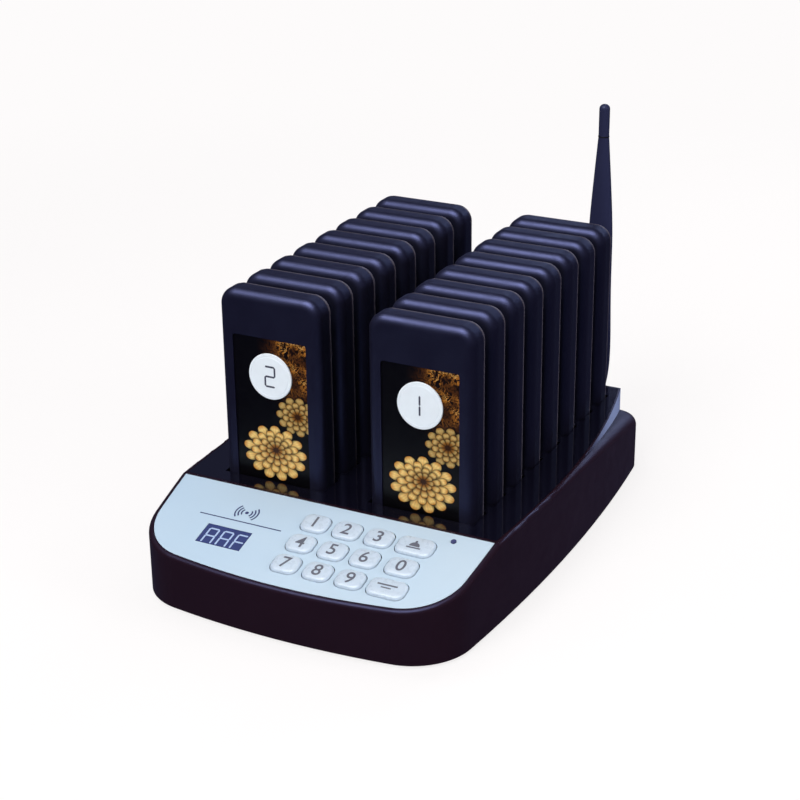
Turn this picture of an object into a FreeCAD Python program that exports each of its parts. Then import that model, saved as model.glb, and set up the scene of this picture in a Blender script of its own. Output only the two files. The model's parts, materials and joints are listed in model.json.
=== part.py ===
import FreeCAD, Part
import Sketcher
import math
import os
import re

# Guest pager system: a charging base with a keypad, two columns of pagers and a paddle antenna.
# Frame: X to the right, Y to the back, Z up; the origin is on the table, under the middle of the
# footprint of base and antenna. The control panel has a frame of its own: "across" runs along X,
# "down" runs down the slope from its back edge, and "lift" stands square on its surface.

SIZES = {
    # base housing
    "side_space": 20.85,
    "side_bow": 1000.0,
    "front_bow": 420.0,
    "front_corner": 30.0,
    "rear_corner": 14.0,
    "base_gap": 1.5,
    "deck_height": 42.5,
    "housing_wall": 3.0,
    "rim_round": 2.0,
    "shoulder_round": 7.0,
    "shoulder_start": 123.4,
    "shoulder_radius": 616.0,
    "floor_thickness": 2.5,
    "floor_gap": 0.3,
    # deck opening and charging deck
    "rim_width": 1.6,
    "taper_run": 135.6,
    "taper_radius": 503.0,
    "rear_margin": 5.0,
    "rear_space": 12.4,
    "lip_width": 1.0,
    "ledge_width": 1.6,
    "skirt_depth": 20.0,
    "deck_plate": 2.2,
    "deck_gap": 0.15,
    "slot_depth": 10.5,
    "slot_gap": 0.4,
    "pocket_wall": 1.6,
    # control panel
    "panel_run": 57.4,
    "panel_slope": 15.3,
    "panel_margin": 2.6,
    "panel_back_margin": 0.8,
    "overlay_thickness": 0.8,
    "overlay_gap": 0.15,
    # display and status light
    "display_across": -40.0,
    "display_down": 35.5,
    "lens_width": 23.5,
    "lens_length": 12.6,
    "lens_gap": 0.15,
    "lens_ledge": 1.2,
    "module_width": 22.6,
    "module_length": 12.2,
    "module_gap": 0.1,
    "light_across": 63.9,
    "light_down": 5.6,
    "light_radius": 1.3,
    "light_gap": 0.15,
    "light_proud": 0.4,
    # keys
    "keys_across": -2.4,
    "keys_down": 14.4,
    "key_pitch_across": 16.5,
    "key_pitch_down": 14.35,
    "side_column_shift": 1.9,
    "key_width": 13.8,
    "zero_key_width": 15.0,
    "wide_key_width": 18.6,
    "key_length": 11.6,
    "key_corner": 4.2,
    "key_proud": 1.7,
    "key_round": 1.0,
    "key_gap": 0.35,
    "key_flange": 0.8,
    "key_flange_thickness": 1.0,
    "key_rest_gap": 0.1,
    "key_travel": 0.6,
    # keypad board
    "board_thickness": 1.6,
    "keypad_board_left": 58.0,
    "keypad_board_right": 66.0,
    "keypad_board_back": 4.0,
    "keypad_board_front": 48.0,
    "switch_size": 6.0,
    "switch_body_height": 3.4,
    "switch_height": 4.3,
    "switch_button_radius": 1.75,
    "panel_post_radius": 2.5,
    "panel_post_inset": 3.5,
    "panel_post_back": 11.0,
    # main board and charging contacts
    "board_margin": 4.85,
    "main_board_drop": 4.4,
    "contact_spacing": 30.0,
    "contact_radius": 0.9,
    "contact_gap": 0.35,
    "board_post_radius": 3.5,
    # pagers
    "first_pager": 10.6,
    "pager_rows": 8,
    "pager_pitch": 21.8,
    "column_spacing": 78.3,
    "pager_width": 54.0,
    "pager_height": 105.0,
    "pager_corner": 8.5,
    "front_depth": 10.0,
    "rear_depth": 4.0,
    "front_round": 4.5,
    "rear_round": 2.6,
    "rear_inset": 0.4,
    "pager_wall": 1.8,
    "window_width": 39.5,
    "window_drop": 21.7,
    "window_foot": 8.6,
    "window_corner": 1.5,
    "window_recess": 0.8,
    "pager_board_width": 46.0,
    "pager_board_height": 84.0,
    "pager_board_thickness": 1.2,
    "battery_width": 34.0,
    "battery_height": 45.0,
    "battery_thickness": 4.4,
    "battery_lift": 14.0,
    "motor_radius": 4.0,
    "motor_thickness": 2.7,
    "motor_across": 12.0,
    "motor_lift": 72.0,
    "pad_radius": 2.2,
    "pad_height": 2.4,
    "pad_gap": 0.25,
    "pad_depth": 5.75,
    # feet and screws
    "foot_radius": 6.0,
    "foot_recess": 1.0,
    "foot_across": 56.0,
    "foot_margin": 28.0,
    "case_post_radius": 3.6,
    "front_post_across": 72.0,
    "front_post_down": 20.0,
    "rear_post_across": 60.0,
    "rear_post_margin": 5.8,
    "screw_radius": 1.4,
    "screw_gap": 0.1,
    "screw_head_radius": 2.7,
    "screw_head_height": 1.4,
    "case_screw_length": 9.0,
    "board_screw_length": 5.0,
    "pilot_room": 0.4,
    # power inlet
    "inlet_across": -40.0,
    "inlet_radius": 5.4,
    "inlet_gap": 0.1,
    "inlet_flange": 1.4,
    "inlet_flange_thickness": 1.5,
    "inlet_length": 14.0,
    "inlet_nut_radius": 7.5,
    "inlet_nut_thickness": 2.0,
    "inlet_nut_lift": 0.1,
    "inlet_bore_radius": 2.75,
    "inlet_bore_depth": 9.5,
    "inlet_pin_radius": 1.0,
    # antenna
    "antenna_across": 46.3,
    "antenna_height": 14.5,
    "socket_radius": 3.1,
    "socket_gap": 0.1,
    "socket_inside": 7.0,
    "nut_radius": 4.7,
    "nut_thickness": 2.2,
    "sleeve_radius": 4.8,
    "sleeve_gap": 0.2,
    "sleeve_length": 8.6,
    "sleeve_end": 2.4,
    "swivel_clearance": 0.06,
    "pivot_setback": 5.0,
    "ear_root": 1.0,
    "ear_radius": 4.8,
    "ear_thickness": 2.0,
    "tongue_thickness": 5.0,
    "tongue_clearance": 0.1,
    "tongue_radius": 4.2,
    "hinge_pin_radius": 1.5,
    "hinge_clearance": 0.05,
    "stem_radius": 4.4,
    "stem_clearance": 0.6,
    "stem_height": 14.0,
    "blade_foot_rise": 10.0,
    "blade_wide_rise": 34.0,
    "blade_shoulder_rise": 48.0,
    "blade_neck_rise": 31.5,
    "blade_collar_rise": 12.5,
    "blade_top_rise": 8.0,
    "blade_foot_width": 13.4,
    "blade_width": 14.7,
    "blade_shoulder_width": 13.2,
    "blade_neck_width": 9.0,
    "blade_collar_width": 7.0,
    "blade_thickness": 6.4,
    "tip_radius": 2.8,
    "tip_round": 2.5,
    "tip_length": 17.0,
}

# Sizes and places that follow from the driving dimensions, as formulas of the sheet.
BASE_LENGTH = ("(panel_run + first_pager + (pager_rows - 1) * pager_pitch + front_depth + rear_depth"
               " + rear_space + rear_margin)")
BASE_WIDTH = "(column_spacing + pager_width + 2 * side_space)"
OVERHANG = "(nut_thickness + sleeve_gap + sleeve_length + pivot_setback + ear_radius)"
MIDDLE = f"(-{OVERHANG} / 2)"
FRONT = f"({MIDDLE} - {BASE_LENGTH} / 2)"
REAR = f"({MIDDLE} + {BASE_LENGTH} / 2)"
PANEL_BACK = f"({FRONT} + panel_run)"
DECK_REAR = f"({REAR} - rear_margin)"
FLOOR_TOP = "(base_gap + floor_thickness)"
SLOT_FLOOR = "(deck_height - slot_depth)"
DECK_UNDERSIDE = "(deck_height - deck_plate)"
POCKET_UNDERSIDE = f"({SLOT_FLOOR} - pocket_wall)"
MAIN_BOARD_TOP = f"({POCKET_UNDERSIDE} - main_board_drop)"
KEY_BOTTOM = "(-housing_wall - key_rest_gap - key_flange_thickness)"
KEYPAD_BOARD_TOP = f"({KEY_BOTTOM} - key_travel - key_rest_gap - switch_height)"
SCREW_HOLE = "(screw_radius + screw_gap)"
PILOT_DEPTH = "(board_screw_length - board_thickness + pilot_room)"
EYE_WIDTH = "(tongue_thickness + 2 * tongue_clearance)"
PIVOT_BACK = f"({REAR} + {OVERHANG} - ear_radius)"
INLET_HEIGHT = f"({FLOOR_TOP} + inlet_nut_lift + inlet_nut_radius)"

# Keys in reading order: name, column, row, width. The fourth column stands a little apart.
KEYS = [
    ("key_1", 0, 0, "key_width"), ("key_2", 1, 0, "key_width"), ("key_3", 2, 0, "key_width"),
    ("key_call", 3, 0, "wide_key_width"),
    ("key_4", 0, 1, "key_width"), ("key_5", 1, 1, "key_width"), ("key_6", 2, 1, "key_width"),
    ("key_0", 3, 1, "zero_key_width"),
    ("key_7", 0, 2, "key_width"), ("key_8", 1, 2, "key_width"), ("key_9", 2, 2, "key_width"),
    ("key_function", 3, 2, "wide_key_width"),
]
# Posts under the panel that carry the keypad board: across, down.
PANEL_POSTS = [
    (across, down)
    for across in ("(panel_post_inset - keypad_board_left)", "(keypad_board_right - panel_post_inset)")
    for down in ("(keypad_board_back + panel_post_back)", "(keypad_board_front - panel_post_inset)")
]
SIDES = {"right": 1, "left": -1}
BACKWARDS = (0, 1, 0)
ACROSS = (1, 0, 0)

doc = FreeCAD.newDocument("GuestPagerSystem")
sheet = doc.addObject("Spreadsheet::Sheet", "Sizes")
for row, (alias, value) in enumerate(SIZES.items(), start=1):
    sheet.set(f"A{row}", alias)
    sheet.set(f"B{row}", str(value))
    sheet.setAlias(f"B{row}", alias)
doc.recompute()
nodes = []


# ---------------------------------------------------------------- helpers

def with_names(text, write):
    """Write each size name in a formula in another way."""
    return re.sub(r"[a-z]+(?:_[a-z]+)+",
                  lambda word: write(word.group(0)) if word.group(0) in SIZES else word.group(0),
                  str(text))


def formula(text):
    """A formula of size names as an expression of the sheet."""
    return with_names(text, lambda name: "Sizes." + name)


def number(text):
    """The present value of a formula of size names that holds no angle."""
    return FreeCAD.Units.Quantity(with_names(text, lambda name: str(sheet.get(name)))).Value


def bind(thing, formulas):
    for name, text in formulas.items():
        thing.setExpression(name, formula(text))
    return thing


def put(thing, x, y, z):
    return bind(thing, {"Placement.Base.x": x, "Placement.Base.y": y, "Placement.Base.z": z})


def put_on_panel(thing, across, down, lift):
    """Turn a thing to the slope and move its origin to a place in the panel's frame."""
    tilt = FreeCAD.Rotation(FreeCAD.Vector(*ACROSS), 1)
    thing.Placement = FreeCAD.Placement(FreeCAD.Vector(), tilt)
    bind(thing, {"Placement.Rotation.Angle": "panel_slope"})
    return put(thing, across,
               f"{PANEL_BACK} - ({down}) * cos(panel_slope) - ({lift}) * sin(panel_slope)",
               f"deck_height - ({down}) * sin(panel_slope) + ({lift}) * cos(panel_slope)")


def box(name, length, width, height, x, y, z):
    """A box centred on a place in X and Y, standing on it in Z."""
    solid = doc.addObject("Part::Box", name)
    bind(solid, {"Length": length, "Width": width, "Height": height})
    return put(solid, f"{x} - ({length}) / 2", f"{y} - ({width}) / 2", z)


def panel_box(name, length, width, height, across, down, lift):
    """A box turned to the slope, centred across and down, standing on a height over the panel."""
    solid = doc.addObject("Part::Box", name)
    bind(solid, {"Length": length, "Width": width, "Height": height})
    return put_on_panel(solid, f"{across} - ({length}) / 2", f"{down} + ({width}) / 2", lift)


def along(axis):
    """A placement at the origin that turns +Z to an axis."""
    turn = FreeCAD.Rotation(FreeCAD.Vector(0, 0, 1), FreeCAD.Vector(*axis))
    return FreeCAD.Placement(FreeCAD.Vector(), turn)


def cylinder(name, radius, height, x, y, z, axis=(0, 0, 1)):
    solid = doc.addObject("Part::Cylinder", name)
    solid.Placement = along(axis)
    bind(solid, {"Radius": radius, "Height": height})
    return put(solid, x, y, z)


def panel_cylinder(name, radius, height, across, down, lift):
    solid = doc.addObject("Part::Cylinder", name)
    bind(solid, {"Radius": radius, "Height": height})
    return put_on_panel(solid, across, down, lift)


def hex_nut(name, radius, height, x, y, z):
    """A hexagon along Y; the radius reaches its corners."""
    solid = doc.addObject("Part::Prism", name)
    solid.Placement = along(BACKWARDS)
    solid.Polygon = 6
    bind(solid, {"Circumradius": radius, "Height": height})
    return put(solid, x, y, z)


def fuse(name, *parts):
    joined = doc.addObject("Part::MultiFuse", name)
    joined.Shapes = list(parts)
    return joined


def common(name, *parts):
    shared = doc.addObject("Part::MultiCommon", name)
    shared.Shapes = list(parts)
    return shared


def cut(name, base, *tools):
    rest = doc.addObject("Part::Cut", name)
    rest.Base = base
    rest.Tool = tools[0] if len(tools) == 1 else fuse(name + "_tools", *tools)
    return rest


def group(name, *parts):
    """Pieces kept apart as separate solids of one node."""
    bunch = doc.addObject("Part::Compound", name)
    bunch.Links = list(parts)
    return bunch


def node(label, thing):
    thing.Label = label
    nodes.append(thing)
    return thing


def edge_names(shape, pick):
    return [f"Edge{place}" for place, edge in enumerate(shape.Edges, start=1) if pick(edge.BoundBox)]


def round_edges(body, radius, pick):
    """Round the picked edges of a body's last feature."""
    start = body.Tip
    fillet = body.newObject("PartDesign::Fillet", f"{body.Name}_round")
    fillet.Base = (start, edge_names(start.Shape, pick))
    bind(fillet, {"Radius": radius})
    body.Tip = fillet
    doc.recompute()
    return body


def body_of(name, base):
    """A body that takes a solid as its base; it leaves out a primitive's own placement."""
    body = doc.addObject("PartDesign::Body", name)
    body.BaseFeature = base
    doc.recompute()
    return body


def upright(bounds):
    return bounds.XLength < 1e-4 and bounds.YLength < 1e-4


# ---------------------------------------------------------------- sketches

def new_sketch(body, name, role, offset="0"):
    """An empty sketch on a plane of the body's origin, moved along that plane's normal."""
    sketch = body.newObject("Sketcher::SketchObject", name)
    plane = next(item for item in body.Origin.OriginFeatures if item.Role == role)
    sketch.AttachmentSupport = [(plane, "")]
    sketch.MapMode = "FlatFace"
    return bind(sketch, {"AttachmentOffset.Base.z": offset})


def relate(sketch, kind, *items):
    sketch.addConstraint(Sketcher.Constraint(kind, *items))


def dimension(sketch, text, kind, *items, start=None):
    """A driving constraint with its formula; start is its value where the formula holds an angle."""
    value = number(text) if start is None else start
    place = sketch.addConstraint(Sketcher.Constraint(kind, *items, value))
    sketch.setExpression(f"Constraints[{place}]", formula(text))


def line(sketch, start, end):
    sketch.addGeometry(Part.LineSegment(FreeCAD.Vector(*start, 0), FreeCAD.Vector(*end, 0)))


def arc(sketch, centre, radius, start, end):
    """An anticlockwise arc between two directions in radians."""
    circle = Part.Circle(FreeCAD.Vector(*centre, 0), FreeCAD.Vector(0, 0, 1), radius)
    sketch.addGeometry(Part.ArcOfCircle(circle, start, end))


def rounded_rectangle(sketch, width, low, high, corner):
    """A rectangle with round corners between two heights, centred on the upright axis."""
    half, bottom, top, radius = number(width) / 2, number(low), number(high), number(corner)
    quarter = math.pi / 2
    line(sketch, (radius - half, bottom), (half - radius, bottom))
    arc(sketch, (half - radius, bottom + radius), radius, -quarter, 0)
    line(sketch, (half, bottom + radius), (half, top - radius))
    arc(sketch, (half - radius, top - radius), radius, 0, quarter)
    line(sketch, (half - radius, top), (radius - half, top))
    arc(sketch, (radius - half, top - radius), radius, quarter, 2 * quarter)
    line(sketch, (-half, top - radius), (-half, bottom + radius))
    arc(sketch, (radius - half, bottom + radius), radius, 2 * quarter, 3 * quarter)
    for place in range(8):
        relate(sketch, "Tangent", place, 2, (place + 1) % 8, 1)
    for place in (0, 4):
        relate(sketch, "Horizontal", place)
    for place in (2, 6):
        relate(sketch, "Vertical", place)
    for place in (3, 5, 7):
        relate(sketch, "Equal", 1, place)
    dimension(sketch, corner, "Radius", 1)
    dimension(sketch, width, "DistanceX", 6, 1, 2, 1)
    dimension(sketch, f"({width}) / 2", "DistanceX", -1, 1, 2, 1)
    dimension(sketch, low, "DistanceY", -1, 1, 0, 1)
    dimension(sketch, high, "DistanceY", -1, 1, 4, 1)


# ---------------------------------------------------------------- outlines of the base

def barrel(name, inset, bottom, top):
    """The base's outline in plan, moved inwards and drawn up between two heights."""
    height = f"({top}) - ({bottom})"
    block = box(name + "_length", BASE_WIDTH, f"{BASE_LENGTH} - 2 * ({inset})", height, "0", MIDDLE, bottom)
    bows = [cylinder(f"{name}_{side}", f"side_bow - ({inset})", height,
                     f"{sign} * ({BASE_WIDTH} / 2 - side_bow)", MIDDLE, bottom)
            for side, sign in SIDES.items()]
    front = cylinder(name + "_front", f"front_bow - ({inset})", height, "0", f"{FRONT} + front_bow", bottom)
    body = body_of(name, common(name + "_blank", block, front, *bows))
    quarter_length = number(BASE_LENGTH) / 4
    front_part = number(MIDDLE) - quarter_length
    rear_part = number(MIDDLE) + quarter_length
    round_edges(body, f"front_corner - ({inset})",
                lambda bounds: upright(bounds) and bounds.YMax < front_part)
    return round_edges(body, f"rear_corner - ({inset})",
                       lambda bounds: upright(bounds) and bounds.YMin > rear_part)


def side_profile(name, drop):
    """The base seen from the side, moved inwards: slope, flat deck and falling shoulder."""
    body = doc.addObject("PartDesign::Body", name)
    sketch = new_sketch(body, name + "_sketch", "YZ_Plane", f"-{BASE_WIDTH} / 2")
    slope = math.radians(number("panel_slope"))
    shoulder = f"{FRONT} + shoulder_start"
    top = f"deck_height - ({drop})"
    radius = f"shoulder_radius - ({drop})"
    front_y, rear_y, shoulder_y = number(FRONT), number(REAR), number(shoulder)
    low_z, top_z, bend = number("base_gap"), number(top), number(radius)
    fold_y = number(PANEL_BACK) + number(drop) * math.tan(slope / 2)
    front_z = top_z - (fold_y - front_y) * math.tan(slope)
    swing = math.acos((rear_y - shoulder_y) / bend)
    rear_z = top_z - bend + bend * math.sin(swing)
    line(sketch, (front_y, low_z), (rear_y, low_z))
    line(sketch, (rear_y, low_z), (rear_y, rear_z))
    arc(sketch, (shoulder_y, top_z - bend), bend, swing, math.pi / 2)
    line(sketch, (shoulder_y, top_z), (fold_y, top_z))
    line(sketch, (fold_y, top_z), (front_y, front_z))
    line(sketch, (front_y, front_z), (front_y, low_z))
    for one, other in ((0, 1), (1, 2), (3, 4), (4, 5), (5, 0)):
        relate(sketch, "Coincident", one, 2, other, 1)
    relate(sketch, "Tangent", 2, 2, 3, 1)
    for place in (0, 3):
        relate(sketch, "Horizontal", place)
    for place in (1, 5):
        relate(sketch, "Vertical", place)
    dimension(sketch, FRONT, "DistanceX", -1, 1, 0, 1)
    dimension(sketch, REAR, "DistanceX", -1, 1, 1, 1)
    dimension(sketch, shoulder, "DistanceX", -1, 1, 3, 1)
    dimension(sketch, f"{PANEL_BACK} + ({drop}) * tan(panel_slope / 2)", "DistanceX", -1, 1, 4, 1,
              start=fold_y)
    dimension(sketch, "base_gap", "DistanceY", -1, 1, 0, 1)
    dimension(sketch, top, "DistanceY", -1, 1, 3, 1)
    dimension(sketch, f"{top} - (panel_run + ({drop}) * tan(panel_slope / 2)) * tan(panel_slope)",
              "DistanceY", -1, 1, 5, 1, start=front_z)
    dimension(sketch, radius, "Radius", 2)
    pad = body.newObject("PartDesign::Pad", name + "_pad")
    pad.Profile = sketch
    bind(pad, {"Length": BASE_WIDTH})
    body.Tip = pad
    return body


def deck_outline(name, inset, bottom, top):
    """The deck's outline, moved inwards and drawn up: bowed sides that taper towards the rear."""
    body = doc.addObject("PartDesign::Body", name)
    sketch = new_sketch(body, name + "_sketch", "XY_Plane", bottom)
    side = f"(side_bow - rim_width - ({inset}))"
    taper = f"(taper_radius - ({inset}))"
    front = f"{PANEL_BACK} + ({inset})"
    rear = f"{DECK_REAR} - ({inset})"
    turn = f"{MIDDLE} + ({DECK_REAR} - taper_run - {MIDDLE}) * {side} / (side_bow - rim_width)"
    middle, front_y, rear_y, turn_y = number(MIDDLE), number(front), number(rear), number(turn)
    side_radius, taper_radius = number(side), number(taper)
    side_x = number(f"{BASE_WIDTH} / 2 - side_bow")
    lean = math.asin((turn_y - middle) / side_radius)
    start = math.asin((front_y - middle) / side_radius)
    taper_x = side_x + (side_radius - taper_radius) * math.cos(lean)
    taper_y = middle + (side_radius - taper_radius) * math.sin(lean)
    end = math.asin((rear_y - taper_y) / taper_radius)
    front_x = side_x + side_radius * math.cos(start)
    rear_x = taper_x + taper_radius * math.cos(end)
    line(sketch, (-front_x, front_y), (front_x, front_y))
    arc(sketch, (side_x, middle), side_radius, start, lean)
    arc(sketch, (taper_x, taper_y), taper_radius, lean, end)
    line(sketch, (rear_x, rear_y), (-rear_x, rear_y))
    arc(sketch, (-taper_x, taper_y), taper_radius, math.pi - end, math.pi - lean)
    arc(sketch, (-side_x, middle), side_radius, math.pi - lean, math.pi - start)
    relate(sketch, "Tangent", 1, 2, 2, 1)
    for place in (0, 2, 3, 4, 5):
        relate(sketch, "Coincident", place, 2, (place + 1) % 6, 1)
    relate(sketch, "Symmetric", 0, 1, 0, 2, -2)
    relate(sketch, "Symmetric", 3, 1, 3, 2, -2)
    relate(sketch, "Symmetric", 1, 2, 4, 2, -2)
    relate(sketch, "Equal", 1, 5)
    relate(sketch, "Equal", 2, 4)
    dimension(sketch, side, "Radius", 1)
    dimension(sketch, taper, "Radius", 2)
    dimension(sketch, f"{BASE_WIDTH} / 2 - side_bow", "DistanceX", -1, 1, 1, 3)
    dimension(sketch, MIDDLE, "DistanceY", -1, 1, 1, 3)
    dimension(sketch, front, "DistanceY", -1, 1, 0, 1)
    dimension(sketch, rear, "DistanceY", -1, 1, 3, 1)
    dimension(sketch, turn, "DistanceY", -1, 1, 1, 2)
    pad = body.newObject("PartDesign::Pad", name + "_pad")
    pad.Profile = sketch
    bind(pad, {"Length": f"({top}) - ({bottom})"})
    body.Tip = pad
    return body


def key_place(column, row):
    shift = " + side_column_shift" if column == 3 else ""
    return f"(keys_across + {column} * key_pitch_across{shift})", f"(keys_down + {row} * key_pitch_down)"


def pager_place(row, sign):
    return f"({sign} * column_spacing / 2)", f"({PANEL_BACK} + first_pager + {row} * pager_pitch)"


def case_posts():
    """Places of the posts that the case screws hold: across and back."""
    front = f"({PANEL_BACK} - front_post_down * cos(panel_slope))"
    rear = f"({DECK_REAR} - rear_post_margin)"
    places = {}
    for side, sign in SIDES.items():
        places["front_" + side] = (f"({sign} * front_post_across)", front)
        places["rear_" + side] = (f"({sign} * rear_post_across)", rear)
    return places


def main_board_corners():
    """Places of the main board's pillars: across and back."""
    front = f"({PANEL_BACK} + first_pager + pad_depth - board_margin + board_post_radius)"
    rear = (f"({PANEL_BACK} + first_pager + pad_depth + board_margin - board_post_radius"
            " + (pager_rows - 1) * pager_pitch)")
    return {f"{end}_{side}": (f"({sign} * column_spacing / 2)", place)
            for end, place in (("front", front), ("rear", rear)) for side, sign in SIDES.items()}


# ---------------------------------------------------------------- the base's pieces

def tablet(name, width, length, corner, low, high):
    """A block with round corners, centred on the origin, between two heights."""
    body = doc.addObject("PartDesign::Body", name)
    sketch = new_sketch(body, name + "_outline", "XY_Plane", low)
    rounded_rectangle(sketch, width, f"-({length}) / 2", f"({length}) / 2", corner)
    pad = body.newObject("PartDesign::Pad", name + "_pad")
    pad.Profile = sketch
    bind(pad, {"Length": f"({high}) - ({low})"})
    body.Tip = pad
    return body


def key_openings(purpose, depth):
    """Openings for the keys, square through the panel from its surface down to a depth."""
    openings = []
    for name, column, row, width in KEYS:
        opening = tablet(f"{name}_{purpose}", f"{width} + 2 * key_gap", "key_length + 2 * key_gap",
                         "key_corner + key_gap", f"-({depth})", "1")
        openings.append(put_on_panel(opening, *key_place(column, row), "0"))
    return openings


def round_rim(name, block):
    """Round the block's upper rim; from the shoulder's start the round grows towards the rear."""
    doc.recompute()
    start, end = number(f"{FRONT} + shoulder_start"), number(REAR)
    least, most = number("rim_round"), number("shoulder_round")
    rear_wall = end - number("rear_margin") / 2
    lower_part = number("deck_height") / 4
    rounds = []
    for place, edge in enumerate(block.Shape.Edges, start=1):
        bounds = edge.BoundBox
        across = bounds.YLength < 1e-4 and bounds.YMax < rear_wall
        if upright(bounds) or bounds.ZMin < lower_part or across:
            continue
        ends = [edge.valueAt(edge.FirstParameter), edge.valueAt(edge.LastParameter)]
        if edge.Orientation == "Reversed":
            ends.reverse()
        shares = [max(0, (point.y - start) / (end - start)) for point in ends]
        rounds.append((place, *(least + (most - least) * share for share in shares)))
    rim = doc.addObject("Part::Fillet", name)
    rim.Base = block
    rim.Edges = rounds
    doc.recompute()
    return rim


def upper_housing():
    """Upper shell of the case, with the recess and ring that carry the charging deck."""
    block = common("housing_block", barrel("housing_outline", "0", "base_gap", "deck_height"),
                   side_profile("housing_profile", "0"))
    outer = round_rim("housing_outer", block)
    hollow = common("housing_hollow", barrel("housing_inside", "housing_wall", "base_gap", "deck_height"),
                    side_profile("housing_inner_profile", "housing_wall"))
    inner = "lip_width + ledge_width"
    opening = deck_outline("deck_opening", inner, "deck_height - skirt_depth - 1", "deck_height + 1")
    recess = deck_outline("deck_recess", "lip_width", DECK_UNDERSIDE, "deck_height + 1")
    frame = deck_outline("deck_frame", "0", "deck_height - skirt_depth", "deck_height")
    shell = cut("housing_shell", outer, hollow, opening, recess)
    ring = cut("deck_ring", frame, opening, recess)
    posts = []
    for place, (x, y) in case_posts().items():
        slant = "(front_post_down * sin(panel_slope) + housing_wall / 2)"
        top = DECK_UNDERSIDE if place.startswith("rear") else f"(deck_height - {slant})"
        posts.append(cylinder("case_post_" + place, "case_post_radius", f"{top} - {FLOOR_TOP}", x, y,
                              FLOOR_TOP))
    for place, (across, down) in enumerate(PANEL_POSTS):
        posts.append(panel_cylinder(f"panel_post_{place}", "panel_post_radius",
                                    f"-housing_wall / 2 - {KEYPAD_BOARD_TOP}", across, down,
                                    KEYPAD_BOARD_TOP))
    solid = fuse("housing_solid", shell, ring, *posts)
    openings = [common("overlay_recess", overlay_slab("recess", "overlay_gap", "1"),
                       barrel("overlay_recess_edge", "panel_margin - overlay_gap", "base_gap",
                              "deck_height + 2"))]
    openings += key_openings("opening", "housing_wall + 1")
    openings.append(panel_box("display_opening", "lens_width - 2 * lens_ledge",
                              "lens_length - 2 * lens_ledge", "housing_wall + 2", "display_across",
                              "display_down", "-housing_wall - 1"))
    openings.append(panel_cylinder("light_opening", "light_radius + light_gap", "housing_wall + 2",
                                   "light_across", "light_down", "-housing_wall - 1"))
    openings.append(cylinder("socket_opening", "socket_radius + socket_gap", "2 * housing_wall",
                             "antenna_across", f"{REAR} - 1.5 * housing_wall", "antenna_height", BACKWARDS))
    openings.append(cylinder("inlet_opening", "inlet_radius + inlet_gap", "2 * housing_wall",
                             "inlet_across", f"{REAR} - 1.5 * housing_wall", INLET_HEIGHT, BACKWARDS))
    for place, (x, y) in case_posts().items():
        openings.append(cylinder("case_pilot_" + place, SCREW_HOLE, "case_screw_length", x, y, FLOOR_TOP))
    for place, (across, down) in enumerate(PANEL_POSTS):
        openings.append(panel_cylinder(f"panel_pilot_{place}", SCREW_HOLE, PILOT_DEPTH,
                                       across, down, KEYPAD_BOARD_TOP))
    return node("upper_housing", cut("upper_housing_part", solid, *openings))


def overlay_slab(name, gap, over):
    """The overlay's thickness on the slope, reaching past the sides, up to the panel's back margin."""
    run = "panel_run / cos(panel_slope)"
    return panel_box("overlay_slab_" + name, BASE_WIDTH, f"{run} + 2 * {gap}", f"overlay_thickness + {over}",
                     "0", f"panel_back_margin + ({run}) / 2", "-overlay_thickness")


def lower_housing():
    """Bottom cover with the pillars of the main board and the seats of the feet."""
    plate = barrel("floor_plate", "housing_wall + floor_gap", "base_gap", FLOOR_TOP)
    board_under = f"({MAIN_BOARD_TOP} - board_thickness)"
    pillars = [cylinder("pillar_" + place, "board_post_radius", f"{board_under} - base_gap", x, y, "base_gap")
               for place, (x, y) in main_board_corners().items()]
    holes = []
    for place, (x, y) in foot_places().items():
        holes.append(cylinder("foot_seat_" + place, "foot_radius + floor_gap", "2 * foot_recess", x, y,
                              "base_gap - foot_recess"))
    for place, (x, y) in case_posts().items():
        holes.append(cylinder("floor_hole_" + place, SCREW_HOLE, "2 * floor_thickness", x, y, "0"))
        holes.append(cylinder("floor_head_" + place, "screw_head_radius + screw_gap", "screw_head_height + 1",
                              x, y, "base_gap - 1"))
    for place, (x, y) in main_board_corners().items():
        holes.append(cylinder("pillar_pilot_" + place, SCREW_HOLE, f"{PILOT_DEPTH} + 1", x, y,
                              f"{board_under} - {PILOT_DEPTH}"))
    return node("lower_housing", cut("lower_housing_part", fuse("floor_solid", plate, *pillars), *holes))


def foot_places():
    """Places of the rubber feet: across and back."""
    return {f"{end}_{side}": (f"({sign} * foot_across)", place)
            for end, place in (("front", f"({FRONT} + foot_margin)"), ("rear", f"({REAR} - foot_margin)"))
            for side, sign in SIDES.items()}


def rubber_feet():
    feet = [cylinder("foot_" + place, "foot_radius", "base_gap + foot_recess", x, y, "0")
            for place, (x, y) in foot_places().items()]
    return node("rubber_feet", group("feet", *feet))


def screw(name, length, x, y, z, down):
    """A pan-head screw along Z whose head bears on a height, with its shank down or up."""
    head_z, shank_z = (z, f"{z} - {length}") if down else (f"{z} - screw_head_height", z)
    return fuse(name, cylinder(name + "_head", "screw_head_radius", "screw_head_height", x, y, head_z),
                cylinder(name + "_shank", "screw_radius", length, x, y, shank_z))


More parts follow.
